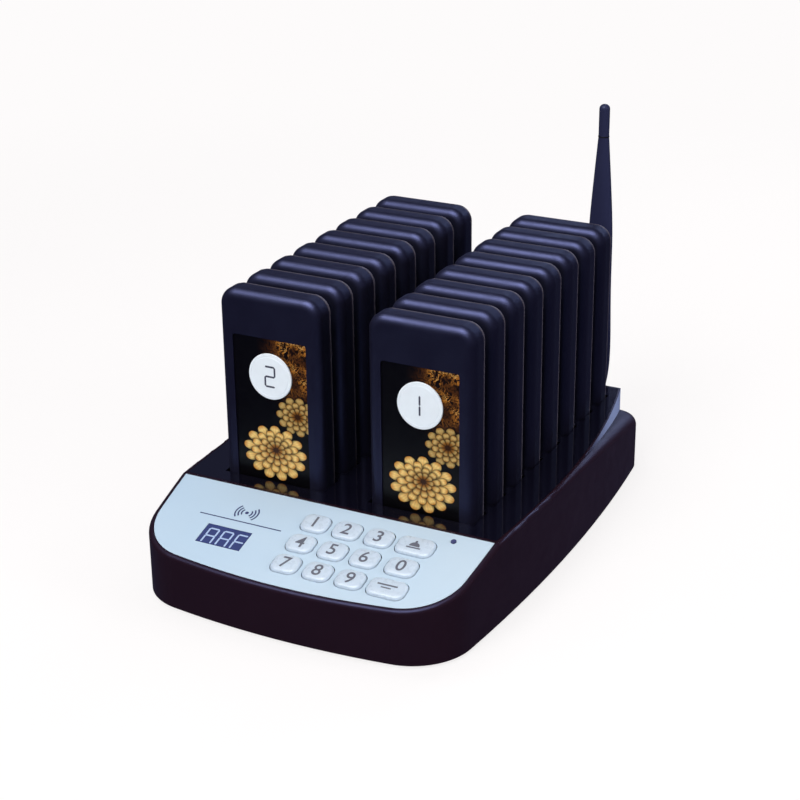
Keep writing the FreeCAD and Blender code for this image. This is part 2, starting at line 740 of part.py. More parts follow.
def case_screws():
    """Screws of the case, the main board and the keypad board."""
    screws = [screw("case_screw_" + place, "case_screw_length", x, y, "(base_gap + screw_head_height)", False)
              for place, (x, y) in case_posts().items()]
    screws += [screw("board_screw_" + place, "board_screw_length", x, y, MAIN_BOARD_TOP, True)
               for place, (x, y) in main_board_corners().items()]
    under = f"({KEYPAD_BOARD_TOP} - board_thickness)"
    for place, (across, down) in enumerate(PANEL_POSTS):
        name = f"panel_screw_{place}"
        head = panel_cylinder(name + "_head", "screw_head_radius", "screw_head_height", across, down,
                              f"{under} - screw_head_height")
        shank = panel_cylinder(name + "_shank", "screw_radius", "board_screw_length", across, down, under)
        screws.append(fuse(name, head, shank))
    return node("case_screws", group("screws", *screws))


def charging_deck():
    """Deck plate with a pocket under it for each pager, and two contact holes in each pocket."""
    edge = "lip_width + deck_gap"
    plate = deck_outline("deck_plate_outline", edge, DECK_UNDERSIDE, "deck_height")
    pockets = []
    cuts = []
    for row in range(int(SIZES["pager_rows"])):
        for side, sign in SIDES.items():
            x, y = pager_place(row, sign)
            name = f"{side}_{row}"
            centre = f"({y} + (front_depth + rear_depth) / 2)"
            width = "(pager_width + 2 * slot_gap)"
            depth = "(front_depth + rear_depth + 2 * slot_gap)"
            pockets.append(box("pocket_" + name, f"{width} + 2 * pocket_wall", f"{depth} + 2 * pocket_wall",
                               f"deck_height - deck_plate / 2 - {POCKET_UNDERSIDE}", x, centre,
                               POCKET_UNDERSIDE))
            cuts.append(box("slot_" + name, width, depth, "slot_depth + 1", x, centre, SLOT_FLOOR))
            for end, shift in SIDES.items():
                cuts.append(cylinder(f"contact_hole_{name}_{end}", "contact_radius + contact_gap",
                                     "pocket_wall + 2", f"({x} + {shift} * contact_spacing / 2)",
                                     f"({y} + pad_depth)", f"{POCKET_UNDERSIDE} - 1"))
    return node("charging_deck", cut("charging_deck_part", fuse("deck_solid", plate, *pockets), *cuts))


def charging_contacts():
    """Spring contacts that stand on the main board and reach up into the slots."""
    pins = []
    for row in range(int(SIZES["pager_rows"])):
        for side, sign in SIDES.items():
            x, y = pager_place(row, sign)
            for end, shift in SIDES.items():
                pins.append(cylinder(f"contact_{side}_{row}_{end}", "contact_radius",
                                     f"{SLOT_FLOOR} - {MAIN_BOARD_TOP}",
                                     f"({x} + {shift} * contact_spacing / 2)", f"({y} + pad_depth)",
                                     MAIN_BOARD_TOP))
    return node("charging_contacts", group("contacts", *pins))


def main_board():
    """Circuit board under the deck that carries the charging contacts."""
    length = "((pager_rows - 1) * pager_pitch + 2 * board_margin)"
    centre = f"({PANEL_BACK} + first_pager + pad_depth + (pager_rows - 1) * pager_pitch / 2)"
    board = box("main_board_plate", "column_spacing + contact_spacing + 2 * board_margin", length,
                "board_thickness", "0", centre, f"{MAIN_BOARD_TOP} - board_thickness")
    holes = [cylinder("main_board_hole_" + place, SCREW_HOLE, "3 * board_thickness", x, y,
                      f"{MAIN_BOARD_TOP} - 2 * board_thickness")
             for place, (x, y) in main_board_corners().items()]
    return node("main_board", cut("main_board_part", board, *holes))


def keypad_overlay():
    """Flat label plate of the control panel."""
    openings = key_openings("window", "overlay_thickness + 1")
    openings.append(panel_box("display_frame", "lens_width + 2 * lens_gap", "lens_length + 2 * lens_gap",
                              "overlay_thickness + 2", "display_across", "display_down",
                              "-overlay_thickness - 1"))
    openings.append(panel_cylinder("light_window", "light_radius + light_gap", "overlay_thickness + 2",
                                   "light_across", "light_down", "-overlay_thickness - 1"))
    edge = barrel("overlay_edge", "panel_margin", "base_gap", "deck_height + 2")
    sheet_of_label = common("overlay_blank", overlay_slab("piece", "0", "0"), edge)
    return node("keypad_overlay", cut("keypad_overlay_part", sheet_of_label, *openings))


def display_window():
    lens = panel_box("display_lens", "lens_width", "lens_length", "overlay_thickness", "display_across",
                     "display_down", "-overlay_thickness")
    return node("display_window", lens)


def display_module():
    """Digit module that stands on the keypad board under the window."""
    module = panel_box("digit_module", "module_width", "module_length",
                       f"-housing_wall - module_gap - {KEYPAD_BOARD_TOP}", "display_across", "display_down",
                       KEYPAD_BOARD_TOP)
    return node("display_module", module)


def status_light():
    light = panel_cylinder("light_body", "light_radius", f"light_proud - {KEYPAD_BOARD_TOP}", "light_across",
                           "light_down", KEYPAD_BOARD_TOP)
    return node("status_light", light)


def keypad_board():
    """Circuit board under the panel, with a push switch under each key."""
    board = panel_box("keypad_board_plate", "keypad_board_left + keypad_board_right",
                      "keypad_board_front - keypad_board_back", "board_thickness",
                      "((keypad_board_right - keypad_board_left) / 2)",
                      "((keypad_board_front + keypad_board_back) / 2)",
                      f"{KEYPAD_BOARD_TOP} - board_thickness")
    switches = []
    for name, column, row, _ in KEYS:
        across, down = key_place(column, row)
        switches.append(panel_box(name + "_switch", "switch_size", "switch_size", "switch_body_height",
                                  across, down, KEYPAD_BOARD_TOP))
        switches.append(panel_cylinder(name + "_switch_button", "switch_button_radius", "switch_height",
                                       across, down, KEYPAD_BOARD_TOP))
    holes = [panel_cylinder(f"keypad_board_hole_{place}", SCREW_HOLE, "3 * board_thickness", across, down,
                            f"{KEYPAD_BOARD_TOP} - 2 * board_thickness")
             for place, (across, down) in enumerate(PANEL_POSTS)]
    solid = fuse("keypad_board_solid", board, *switches)
    return node("keypad_board", cut("keypad_board_part", solid, *holes))


def key(name, column, row, width):
    """A key cap with round corners and a domed edge, on a flange that stops it under the panel."""
    cap = tablet(name + "_cap", width, "key_length", "key_corner", KEY_BOTTOM, "key_proud")
    doc.recompute()
    top = number("key_proud") - 1e-3
    round_edges(cap, "key_round", lambda bounds: bounds.ZMin > top)
    flange = box(name + "_flange", f"{width} + 2 * key_flange", "key_length + 2 * key_flange",
                 "key_flange_thickness", "0", "0", KEY_BOTTOM)
    solid = fuse(name + "_part", cap, flange)
    return node(name, put_on_panel(solid, *key_place(column, row), "0"))


def power_inlet():
    """Barrel socket for the mains adapter, held in the rear wall by its flange and nut."""
    start = f"({REAR} - inlet_length)"
    mouth = f"({REAR} + inlet_flange_thickness)"
    barrel_part = cylinder("inlet_barrel", "inlet_radius", "inlet_length", "inlet_across", start,
                           INLET_HEIGHT, BACKWARDS)
    flange = cylinder("inlet_flange_disc", "inlet_radius + inlet_flange", "inlet_flange_thickness",
                      "inlet_across", REAR, INLET_HEIGHT, BACKWARDS)
    bore = cylinder("inlet_bore", "inlet_bore_radius", "inlet_bore_depth", "inlet_across",
                    f"{mouth} - inlet_bore_depth", INLET_HEIGHT, BACKWARDS)
    pin = cylinder("inlet_pin", "inlet_pin_radius", "inlet_bore_depth - inlet_flange_thickness",
                   "inlet_across", f"{mouth} - inlet_bore_depth", INLET_HEIGHT, BACKWARDS)
    socket = fuse("inlet_socket", cut("inlet_body", fuse("inlet_blank", barrel_part, flange), bore), pin)
    nut = hex_nut("inlet_nut_blank", "inlet_nut_radius", "inlet_nut_thickness", "inlet_across",
                  f"{REAR} - housing_wall - inlet_nut_thickness", INLET_HEIGHT)
    hole = cylinder("inlet_nut_hole", "inlet_radius + inlet_gap", "3 * inlet_nut_thickness", "inlet_across",
                    f"{REAR} - housing_wall - 2 * inlet_nut_thickness", INLET_HEIGHT, BACKWARDS)
    return node("power_inlet", group("inlet_pieces", socket, cut("inlet_nut", nut, hole)))


def antenna_socket():
    """Threaded antenna socket through the rear wall, with a collar inside and a nut outside."""
    inside = "(housing_wall + socket_inside)"
    stub = cylinder("socket_stub", "socket_radius",
                    f"{inside} + nut_thickness + sleeve_gap + sleeve_length - sleeve_end",
                    "antenna_across", f"{REAR} - {inside}", "antenna_height", BACKWARDS)
    collar = cylinder("socket_collar", "nut_radius", "nut_thickness", "antenna_across",
                      f"{REAR} - housing_wall - nut_thickness", "antenna_height", BACKWARDS)
    nut = hex_nut("socket_nut", "nut_radius", "nut_thickness", "antenna_across", REAR, "antenna_height")
    return node("antenna_socket", fuse("socket_part", stub, collar, nut))


def antenna_knuckle():
    """Sleeve that turns on the socket, with two ears and the hinge pin of the antenna."""
    start = f"({REAR} + nut_thickness + sleeve_gap)"
    sleeve = cylinder("knuckle_sleeve", "sleeve_radius", "sleeve_length", "antenna_across", start,
                      "antenna_height", BACKWARDS)
    bore = cylinder("knuckle_bore", "socket_radius + swivel_clearance",
                    "sleeve_length - sleeve_end + sleeve_gap", "antenna_across", start, "antenna_height",
                    BACKWARDS)
    width = f"({EYE_WIDTH} + 2 * ear_thickness)"
    block = box("knuckle_block", width, "pivot_setback + ear_root", "2 * ear_radius", "antenna_across",
                f"({PIVOT_BACK} - (pivot_setback + ear_root) / 2)", "antenna_height - ear_radius")
    ends = cylinder("knuckle_ends", "ear_radius", width, f"antenna_across - {width} / 2", PIVOT_BACK,
                    "antenna_height", ACROSS)
    eye = box("knuckle_eye", EYE_WIDTH, "pivot_setback + ear_radius + 1", "2 * ear_radius + 2",
              "antenna_across", f"({PIVOT_BACK} + (ear_radius + 1 - pivot_setback) / 2)",
              "antenna_height - ear_radius - 1")
    pin = cylinder("knuckle_pin", "hinge_pin_radius", width, f"antenna_across - {width} / 2", PIVOT_BACK,
                   "antenna_height", ACROSS)
    ears = cut("knuckle_ears", fuse("knuckle_blank", sleeve, block, ends), bore, eye)
    return node("antenna_knuckle", fuse("knuckle_part", ears, pin))


def ellipse(name, width, thickness, height):
    """A section of the antenna's blade, wide across and thin front to back."""
    curve = doc.addObject("Part::Ellipse", name)
    bind(curve, {"MajorRadius": f"({width}) / 2", "MinorRadius": f"({thickness}) / 2"})
    return put(curve, "antenna_across", PIVOT_BACK, f"antenna_height + {height}")


def antenna_whip():
    """Paddle antenna that stands on a tongue between the knuckle's ears."""
    left = "antenna_across - tongue_thickness / 2"
    tongue = cylinder("whip_tongue", "tongue_radius", "tongue_thickness", left, PIVOT_BACK,
                      "antenna_height", ACROSS)
    stem_bottom = "(ear_radius + stem_clearance)"
    neck = box("whip_neck", "tongue_thickness", "2 * tongue_radius", f"{stem_bottom} + 1", "antenna_across",
               PIVOT_BACK, "antenna_height")
    stem = cylinder("whip_stem", "stem_radius", f"stem_height - {stem_bottom}", "antenna_across", PIVOT_BACK,
                    f"antenna_height + {stem_bottom}")
    outline = [
        ("stem", "2 * stem_radius", "2 * stem_radius", "stem_height"),
        ("foot", "blade_foot_width", "blade_thickness", "blade_foot_rise"),
        ("wide", "blade_width", "blade_thickness", "blade_wide_rise"),
        ("shoulder", "blade_shoulder_width", "blade_thickness", "blade_shoulder_rise"),
        ("neck", "blade_neck_width", "blade_thickness", "blade_neck_rise"),
        ("collar", "blade_collar_width", "2 * tip_radius", "blade_collar_rise"),
        ("top", "2 * tip_radius", "2 * tip_radius", "blade_top_rise"),
    ]
    sections, height = [], "0"
    for name, width, thickness, rise in outline:
        height = f"({height} + {rise})"
        sections.append(ellipse("whip_section_" + name, width, thickness, height))
    blade = doc.addObject("Part::Loft", "whip_blade")
    blade.Sections = sections
    blade.Solid = True
    tip = body_of("whip_tip", cylinder("whip_tip_blank", "tip_radius", "tip_length", "0", "0", "0"))
    top = number("tip_length") - 1e-3
    round_edges(tip, "tip_round", lambda bounds: bounds.ZMin > top)
    put(tip, "antenna_across", PIVOT_BACK, f"antenna_height + {height}")
    solid = fuse("whip_solid", tongue, neck, stem, blade, tip)
    hole = cylinder("whip_hole", "hinge_pin_radius + hinge_clearance", "tongue_thickness + 2",
                    f"{left} - 1", PIVOT_BACK, "antenna_height", ACROSS)
    return node("antenna_whip", cut("whip_part", solid, hole))


# ---------------------------------------------------------------- pagers

def shell_body(name, role_offset, inset, depth, corner_round, rear):
    """A tray with round corners on the XZ plane, hollowed from its open side."""
    body = doc.addObject("PartDesign::Body", name)
    sketch = new_sketch(body, name + "_outline", "XZ_Plane", f"-({role_offset})")
    rounded_rectangle(sketch, f"pager_width - 2 * ({inset})", inset, f"pager_height - ({inset})",
                      f"pager_corner - ({inset})")
    pad = body.newObject("PartDesign::Pad", name + "_pad")
    pad.Profile = sketch
    pad.Reversed = True
    bind(pad, {"Length": depth})
    body.Tip = pad
    doc.recompute()
    closed, opened = number(role_offset), number(f"{role_offset} + {depth}")
    if rear:
        closed, opened = opened, closed
    round_edges(body, corner_round, lambda bounds: bounds.YLength < 1e-4 and abs(bounds.YMin - closed) < 1e-4)
    solid = body.Tip
    mouth = next(place for place, face in enumerate(solid.Shape.Faces, start=1)
                 if face.BoundBox.YLength < 1e-4 and abs(face.BoundBox.YMin - opened) < 1e-4)
    hollow = body.newObject("PartDesign::Thickness", name + "_hollow")
    hollow.Base = (solid, [f"Face{mouth}"])
    hollow.Reversed = True
    bind(hollow, {"Value": "pager_wall"})
    body.Tip = hollow
    doc.recompute()
    return body


def pocket(body, name, sketch, depth, backwards):
    before = body.Tip.Shape.Volume
    feature = body.newObject("PartDesign::Pocket", name)
    feature.Profile = sketch
    feature.Reversed = backwards
    bind(feature, {"Length": depth})
    body.Tip = feature
    doc.recompute()
    if feature.Shape.Volume > before - 0.1:
        raise RuntimeError(f"{name} cuts nothing")


def front_cover():
    """Front half of a pager, with a recess for the picture and two holes for the charging pads."""
    body = shell_body("front_cover", "0", "0", "front_depth", "front_round", False)
    picture = new_sketch(body, "picture_outline", "XZ_Plane")
    rounded_rectangle(picture, "window_width", "window_foot", "pager_height - window_drop", "window_corner")
    pocket(body, "picture_recess", picture, "window_recess", False)
    holes = new_sketch(body, "pad_holes_outline", "XY_Plane")
    for place, sign in enumerate(SIDES.values()):
        centre = FreeCAD.Vector(sign * number("contact_spacing / 2"), number("pad_depth"), 0)
        holes.addGeometry(Part.Circle(centre, FreeCAD.Vector(0, 0, 1), number("pad_radius + pad_gap")))
        dimension(holes, "pad_radius + pad_gap", "Radius", place)
        dimension(holes, f"{sign} * contact_spacing / 2", "DistanceX", -1, 1, place, 3)
        dimension(holes, "pad_depth", "DistanceY", -1, 1, place, 3)
    pocket(body, "pad_holes", holes, "2 * pager_wall", True)
    return body


def rear_shell():
    """Rear half of a pager with its inner pieces: board, battery, vibration motor and charging pads."""
    shell = shell_body("rear_shell", "front_depth", "rear_inset", "rear_depth", "rear_round", True)
    board_back = "(front_depth + rear_depth - pager_wall)"
    board_front = f"({board_back} - pager_board_thickness)"
    board = box("pager_board", "pager_board_width", "pager_board_thickness", "pager_board_height", "0",
                f"({board_back} - pager_board_thickness / 2)", "(pager_height - pager_board_height) / 2")
    battery = box("pager_battery", "battery_width", "battery_thickness", "battery_height", "0",
                  f"({board_front} - battery_thickness / 2)", "battery_lift")
    motor = cylinder("pager_motor", "motor_radius", "motor_thickness", "motor_across",
                     f"{board_front} - motor_thickness", "motor_lift", BACKWARDS)
    pads = [cylinder("pager_pad_" + side, "pad_radius", "pad_height", f"{sign} * contact_spacing / 2",
                     "pad_depth", "0")
            for side, sign in SIDES.items()]
    return group("rear_shell_pieces", shell, board, battery, motor, *pads)


def pagers():
    """Number the pagers from the front row, the right one of each row first."""
    cover = front_cover()
    rear = rear_shell()
    count = 0
    for row in range(int(SIZES["pager_rows"])):
        for sign in SIDES.values():
            count += 1
            for piece, half in (("front_cover", cover), ("rear_shell", rear)):
                label = f"pager_{count:02d}_{piece}"
                node(label, put(group(label + "_copy", half), *pager_place(row, sign), SLOT_FLOOR))


# ---------------------------------------------------------------- build, check and write

def build():
    lower_housing()
    rubber_feet()
    upper_housing()
    charging_deck()
    charging_contacts()
    main_board()
    keypad_overlay()
    display_window()
    display_module()
    status_light()
    keypad_board()
    for entry in KEYS:
        key(*entry)
    case_screws()
    power_inlet()
    antenna_socket()
    antenna_knuckle()
    antenna_whip()
    pagers()
    doc.recompute()


def check():
    for thing in doc.Objects:
        if "Invalid" in thing.State or "Error" in thing.State:
            raise RuntimeError(f"{thing.Name} failed: {thing.State}")
    for thing in nodes:
        if thing.Shape.isNull() or not thing.Shape.isValid():
            raise RuntimeError(f"{thing.Label} has a bad shape")


def write():
    os.makedirs("parts", exist_ok=True)
    for thing in nodes:
        thing.Shape.exportStep(f"parts/{thing.Label}.step")


build()
check()
write()
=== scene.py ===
import bmesh
import bpy
import json
import math
from mathutils import Matrix, Vector

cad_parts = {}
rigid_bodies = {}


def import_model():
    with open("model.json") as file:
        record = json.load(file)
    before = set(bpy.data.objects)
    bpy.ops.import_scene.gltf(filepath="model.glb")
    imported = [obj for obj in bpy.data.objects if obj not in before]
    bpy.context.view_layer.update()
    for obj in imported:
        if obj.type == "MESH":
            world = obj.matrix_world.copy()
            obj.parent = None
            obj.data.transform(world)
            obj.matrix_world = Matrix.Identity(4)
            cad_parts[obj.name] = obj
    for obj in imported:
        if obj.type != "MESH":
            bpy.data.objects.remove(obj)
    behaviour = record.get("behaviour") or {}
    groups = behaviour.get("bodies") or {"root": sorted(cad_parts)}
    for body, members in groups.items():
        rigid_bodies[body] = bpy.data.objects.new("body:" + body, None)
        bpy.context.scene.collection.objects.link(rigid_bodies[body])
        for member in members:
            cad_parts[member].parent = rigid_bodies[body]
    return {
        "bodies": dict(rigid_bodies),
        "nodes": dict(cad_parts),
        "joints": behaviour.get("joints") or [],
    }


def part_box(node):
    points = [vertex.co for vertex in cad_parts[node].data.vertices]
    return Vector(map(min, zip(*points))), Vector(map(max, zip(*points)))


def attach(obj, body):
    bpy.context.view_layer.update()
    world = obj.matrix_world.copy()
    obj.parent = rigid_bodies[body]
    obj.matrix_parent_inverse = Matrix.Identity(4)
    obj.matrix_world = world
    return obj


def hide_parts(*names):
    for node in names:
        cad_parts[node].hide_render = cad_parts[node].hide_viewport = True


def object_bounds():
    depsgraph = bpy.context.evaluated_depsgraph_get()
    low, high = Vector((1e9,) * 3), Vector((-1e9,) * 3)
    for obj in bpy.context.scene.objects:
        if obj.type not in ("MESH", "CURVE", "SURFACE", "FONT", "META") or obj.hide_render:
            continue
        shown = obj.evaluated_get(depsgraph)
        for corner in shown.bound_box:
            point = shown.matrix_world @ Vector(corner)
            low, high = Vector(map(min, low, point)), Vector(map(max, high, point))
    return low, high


bl_info = {
    "name": "Guest pager system",
    "version": (1, 0, 0),
    "blender": (4, 5, 0),
    "location": "View3D > Sidebar > Pagers",
    "description": "Dresses the charging base, its keypad, the pagers and the antenna",
    "category": "Add Mesh",
}

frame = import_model()
CAD_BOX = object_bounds()
MM = 0.001

PAGERS = sorted(name for name in frame["bodies"] if name.startswith("pager_"))
KEYS = sorted(name for name in frame["bodies"] if name.startswith("key_"))
KEY_JOINT = next(joint for joint in frame["joints"] if joint["name"] == "key_1_press")

# The control panel's own frame: across, up the slope, and lift square off its surface.
LIFT = -Vector(KEY_JOINT["axis"])
ACROSS = Vector((1, 0, 0))
UP_SLOPE = LIFT.cross(ACROSS)
PANEL_TURN = Matrix((ACROSS, UP_SLOPE, LIFT)).transposed()

# Pictures on the pagers: a thin card in the recess of each front cover's window.
PICTURE_WIDTH = 39.3 * MM
PICTURE_HEIGHT = 74.5 * MM
PICTURE_FOOT = 8.7 * MM
CARD_THICKNESS = 0.2 * MM
WINDOW_RECESS = 0.8 * MM

# Lit bars of each figure, named the usual way: a on top, then clockwise to f, and g in the middle.
DIGIT_BARS = {
    "0": "abcdef", "1": "bc", "2": "abdeg", "3": "abcdg", "4": "bcfg",
    "5": "acdfg", "6": "acdefg", "7": "abc", "8": "abcdefg", "9": "abcdfg", "A": "abcefg", "F": "aefg",
}
# Place of each bar's middle in half widths and half heights of the figure, and whether it lies flat.
BAR_PLACES = {
    "a": (0, 1, True), "b": (1, 0.5, False), "c": (1, -0.5, False), "d": (0, -1, True),
    "e": (-1, -0.5, False), "f": (-1, 0.5, False), "g": (0, 0, True),
}

# Soft boxes: place and size in metres, power in watts, and the kind of ray that doesn't see the box.
LAMPS = [
    ("lamp_key", (-0.06, -0.95, 0.88), (0.6, 0.7), 12, "glossy"),
    ("lamp_gloss", (-0.1, -0.5, 1.15), (1.1, 0.7), 24, "diffuse"),
    ("lamp_overhead", (-0.3, 0.1, 1.2), (0.6, 0.6), 3, "glossy"),
    ("lamp_right", (1.2, 0.1, 0.5), (0.6, 0.5), 7, "glossy"),
    ("lamp_rear", (0.15, 1.15, 0.7), (0.6, 0.5), 6, "glossy"),
]


# ---------------------------------------------------------------- settings

def length(name, description, default):
    """A setting whose default is given in mm."""
    return bpy.props.FloatProperty(name=name, description=description, default=default * MM,
                                   min=0, unit="LENGTH", subtype="DISTANCE", precision=5)


def colour(name, description, *default):
    """A setting whose default is given as red, green and blue from 0 to 255."""
    return bpy.props.FloatVectorProperty(name=name, description=description,
                                         default=[c / 255 for c in default],
                                         min=0, max=1, size=3, subtype="COLOR_GAMMA")


def share(name, description, default):
    """A setting from 0 to 1."""
    return bpy.props.FloatProperty(name=name, description=description, default=default, min=0, max=1,
                                   subtype="FACTOR")


class BaseSettings(bpy.types.PropertyGroup):
    housing: colour("Housing", "Colour of the moulded case", 33, 17, 24)
    sheen: colour("Sheen", "Colour of the light that the case reflects", 155, 172, 240)
    deck: colour("Deck", "Colour of the polished charging deck", 9, 8, 18)
    floor: colour("Bottom cover", "Colour of the bottom cover", 24, 21, 24)
    rubber: colour("Feet", "Colour of the rubber feet", 30, 30, 31)
    grain: length("Grain", "Size of the moulded grain", 0.35)


class PanelSettings(bpy.types.PropertyGroup):
    label: colour("Label", "Colour of the printed panel label", 187, 205, 220)
    ink: colour("Ink", "Colour of the printed marks", 44, 52, 104)
    window: colour("Window", "Colour of the display window", 62, 72, 122)
    lit: colour("Digits", "Colour of the lit display digits", 160, 180, 214)
    shown: bpy.props.StringProperty(name="Shown", description="Figures on the display", default="AAF")
    digit_height: length("Digit height", "Height of a display digit", 9.6)
    digit_width: length("Digit width", "Width of a display digit", 4.9)
    digit_stroke: length("Digit stroke", "Width of a display bar", 0.85)


class KeySettings(bpy.types.PropertyGroup):
    cap: colour("Cap", "Colour of the key caps", 194, 208, 223)
    ink: colour("Ink", "Colour of the key legends", 96, 98, 112)
    legend_height: length("Legend size", "Type size of the digits on the keys", 9.6)
    corner: length("Corner", "Corner round of a key cap", 4.2)
    edge: length("Edge", "Round of a key cap's upper edge", 1.5)


class PagerSettings(bpy.types.PropertyGroup):
    shell: colour("Shell", "Colour of the pager shells", 13, 10, 18)
    back: colour("Rear shell", "Colour of the rear shells", 15, 13, 20)
    # Painted highlight: a pale band laid on the rear shells' outer rim, standing in for the light that
    # catches it.
    worn: colour("Painted rim highlight", "Colour of the highlight painted on the rear shells' outer rim", 80, 74, 86)
    sheen: colour("Sheen", "Colour of the light that the shells reflect", 172, 182, 255)
    paper: colour("Picture ground", "Ground colour of the picture", 3, 2, 4)
    cream: colour("Cream", "Lightest tone of the picture", 250, 214, 132)
    amber: colour("Amber", "Middle tone of the picture", 200, 128, 44)
    brown: colour("Brown", "Darkest tone of the picture", 78, 42, 12)
    disc: colour("Disc", "Colour of the number discs", 240, 248, 255)
    ink: colour("Ink", "Colour of the numbers on the discs", 70, 72, 90)
    disc_radius: length("Disc radius", "Radius of a number disc", 11.5)
    disc_lift: length("Disc height", "Height of the disc's middle over the pager's foot", 64.5)
    number_height: length("Number height", "Height of a number on a disc", 10)
    number_width: length("Number width", "Width of one digit on a disc", 5.2)
    number_stroke: length("Number stroke", "Width of a number's bars", 0.9)


class AntennaSettings(bpy.types.PropertyGroup):
    whip: colour("Whip", "Colour of the antenna", 40, 42, 70)
    seam: colour("Seam", "Colour of the seam below the tip", 10, 10, 18)
    metal: colour("Metal", "Colour of the socket and screws", 190, 190, 186)


class StageSettings(bpy.types.PropertyGroup):
    camera_place: bpy.props.FloatVectorProperty(
        name="Camera", description="Place of the camera", default=[0.3854, -0.7529, 0.4299],
        unit="LENGTH", subtype="XYZ", precision=4)
    azimuth: bpy.props.FloatProperty(name="Azimuth", description="Turn of the camera round the object",
                                     default=math.radians(27.49), subtype="ANGLE")
    elevation: bpy.props.FloatProperty(name="Elevation", description="Height angle of the camera",
                                       default=math.radians(23.30), subtype="ANGLE")
    roll: bpy.props.FloatProperty(name="Roll", description="Roll of the camera",
                                  default=math.radians(-0.65), subtype="ANGLE")
    lens: bpy.props.FloatProperty(name="Lens", description="Focal length on a sensor 36 mm wide",
                                  default=83.68, unit="CAMERA")
    floor: colour("Floor", "Colour of the floor and backdrop", 253, 251, 251)
    mirror_tone: colour("Mirrored tone", "Colour of the backdrop in reflections", 176, 184, 250)
    glow: share("Backdrop glow", "How much of the floor's tone comes from its own light", 0.8)
    mirrored: share("Mirrored backdrop", "How bright the backdrop is in reflections", 0.1)
    horizon: bpy.props.FloatProperty(name="Mirrored horizon", min=0, default=3.6,
                                     description="How bright the low band behind is in reflections")
    horizon_tone: colour("Horizon tone", "Colour of the low band behind in reflections", 190, 210, 255)
    ambient: share("Ambient light", "Strength of the light from all sides", 0.28)


# ---------------------------------------------------------------- node graphs

def linear(tone):
    """A colour as written on screen, as the light values that shaders take."""
    return [c / 12.92 if c <= 0.04045 else ((c + 0.055) / 1.055) ** 2.4 for c in tone] + [1.0]


def scaled(tone, factor):
    """A tone made darker, or lighter up to white."""
    return [min(1, c * factor) for c in tone[:3]] + [1]


class Graph:
    """The nodes of a material, or of the world, with short calls that add and join them."""

    def __init__(self, name, world=None):
        self.material = world or bpy.data.materials.new(name)
        self.material.use_nodes = True
        self.tree = self.material.node_tree
        self.shader = self.tree.nodes.get("Principled BSDF")

    def node(self, kind, inputs, **settings):
        """Adds a shader node, sets it and feeds its inputs."""
        made = self.tree.nodes.new("ShaderNode" + kind)
        for key, value in settings.items():
            setattr(made, key, value)
        for key, value in inputs.items():
            self.feed(made.inputs[key], value)
        return made

    def feed(self, socket, value):
        """Joins a socket to another node's output, or sets its plain value."""
        if isinstance(value, bpy.types.NodeSocket):
            self.tree.links.new(value, socket)
        else:
            socket.default_value = value

    def set(self, **inputs):
        """Feeds sockets of the shader, with _ in place of spaces in their names."""
        for key, value in inputs.items():
            self.feed(self.shader.inputs[key.replace("_", " ")], value)

    def maths(self, operation, *values, clamp=False):
        return self.node("Math", dict(enumerate(values)), operation=operation, use_clamp=clamp).outputs[0]

    def blend(self, factor, first, second, mode="MIX"):
        made = self.node("Mix", {0: factor, 6: first, 7: second}, data_type="RGBA", blend_type=mode)
        return made.outputs[2]

    def range(self, value, low, high, to_low=0.0, to_high=1.0, smooth=False):
        """A value that runs from to_low to to_high between low and high, and holds beyond them."""
        inputs = {0: value, 1: low, 2: high, 3: to_low, 4: to_high}
        kind = "SMOOTHSTEP" if smooth else "LINEAR"
        return self.node("MapRange", inputs, interpolation_type=kind, clamp=True).outputs[0]

    def place(self):
        """Place on the piece in its own coordinates, in metres."""
        return self.node("TexCoord", {}).outputs["Object"]

    def noise(self, size, detail=2.0, roughness=0.5):
        """Even noise with features of about a size in metres."""
        inputs = {"Vector": self.place(), "Scale": 1 / size, "Detail": detail, "Roughness": roughness}
        return self.node("TexNoise", inputs).outputs["Fac"]

    def bump(self, height, distance, strength=1.0, under=None):
        inputs = {"Height": height, "Distance": distance, "Strength": strength}
        if under is not None:
            inputs["Normal"] = under
        return self.node("Bump", inputs).outputs["Normal"]

    def ramp(self, value, *stops):
        """A colour that runs through stops, each a position and a colour."""
        made = self.node("ValToRGB", {0: value})
        points = made.color_ramp.elements
        while len(points) < len(stops):
            points.new(0.5)
        for point, (place, tone) in zip(points, stops):
            point.position = place
            point.color = tone
        return made.outputs["Color"]


def moulded(name, tone, rough, grain, depth, specular=0.25, tint=None, polished=None, worn=None):
    """Moulded plastic: fine grain, a slow change of tone and patches of different polish.

    polished is a function that takes and returns the graph's roughness and normal, and worn is one
    that does so with its colour, to paint a highlight into it.
    """
    graph = Graph(name)
    base = linear(tone)
    uneven = 0.12
    surface = graph.blend(graph.noise(28 * MM, 3), scaled(base, 1 - uneven), scaled(base, 1 + uneven))
    if worn:
        surface = worn(graph, surface)
    graph.set(Base_Color=surface)
    patches = graph.noise(9 * MM, 4, 0.6)
    roughness = graph.range(patches, 0.3, 0.7, rough * 0.9, rough * 1.12)
    normal = graph.bump(graph.noise(grain, 2), depth)
    if polished:
        roughness, normal = polished(graph, roughness, normal)
    graph.set(Roughness=roughness, Normal=normal, Specular_IOR_Level=specular)
    if tint is not None:
        graph.set(Specular_Tint=linear(tint))
    return graph.material


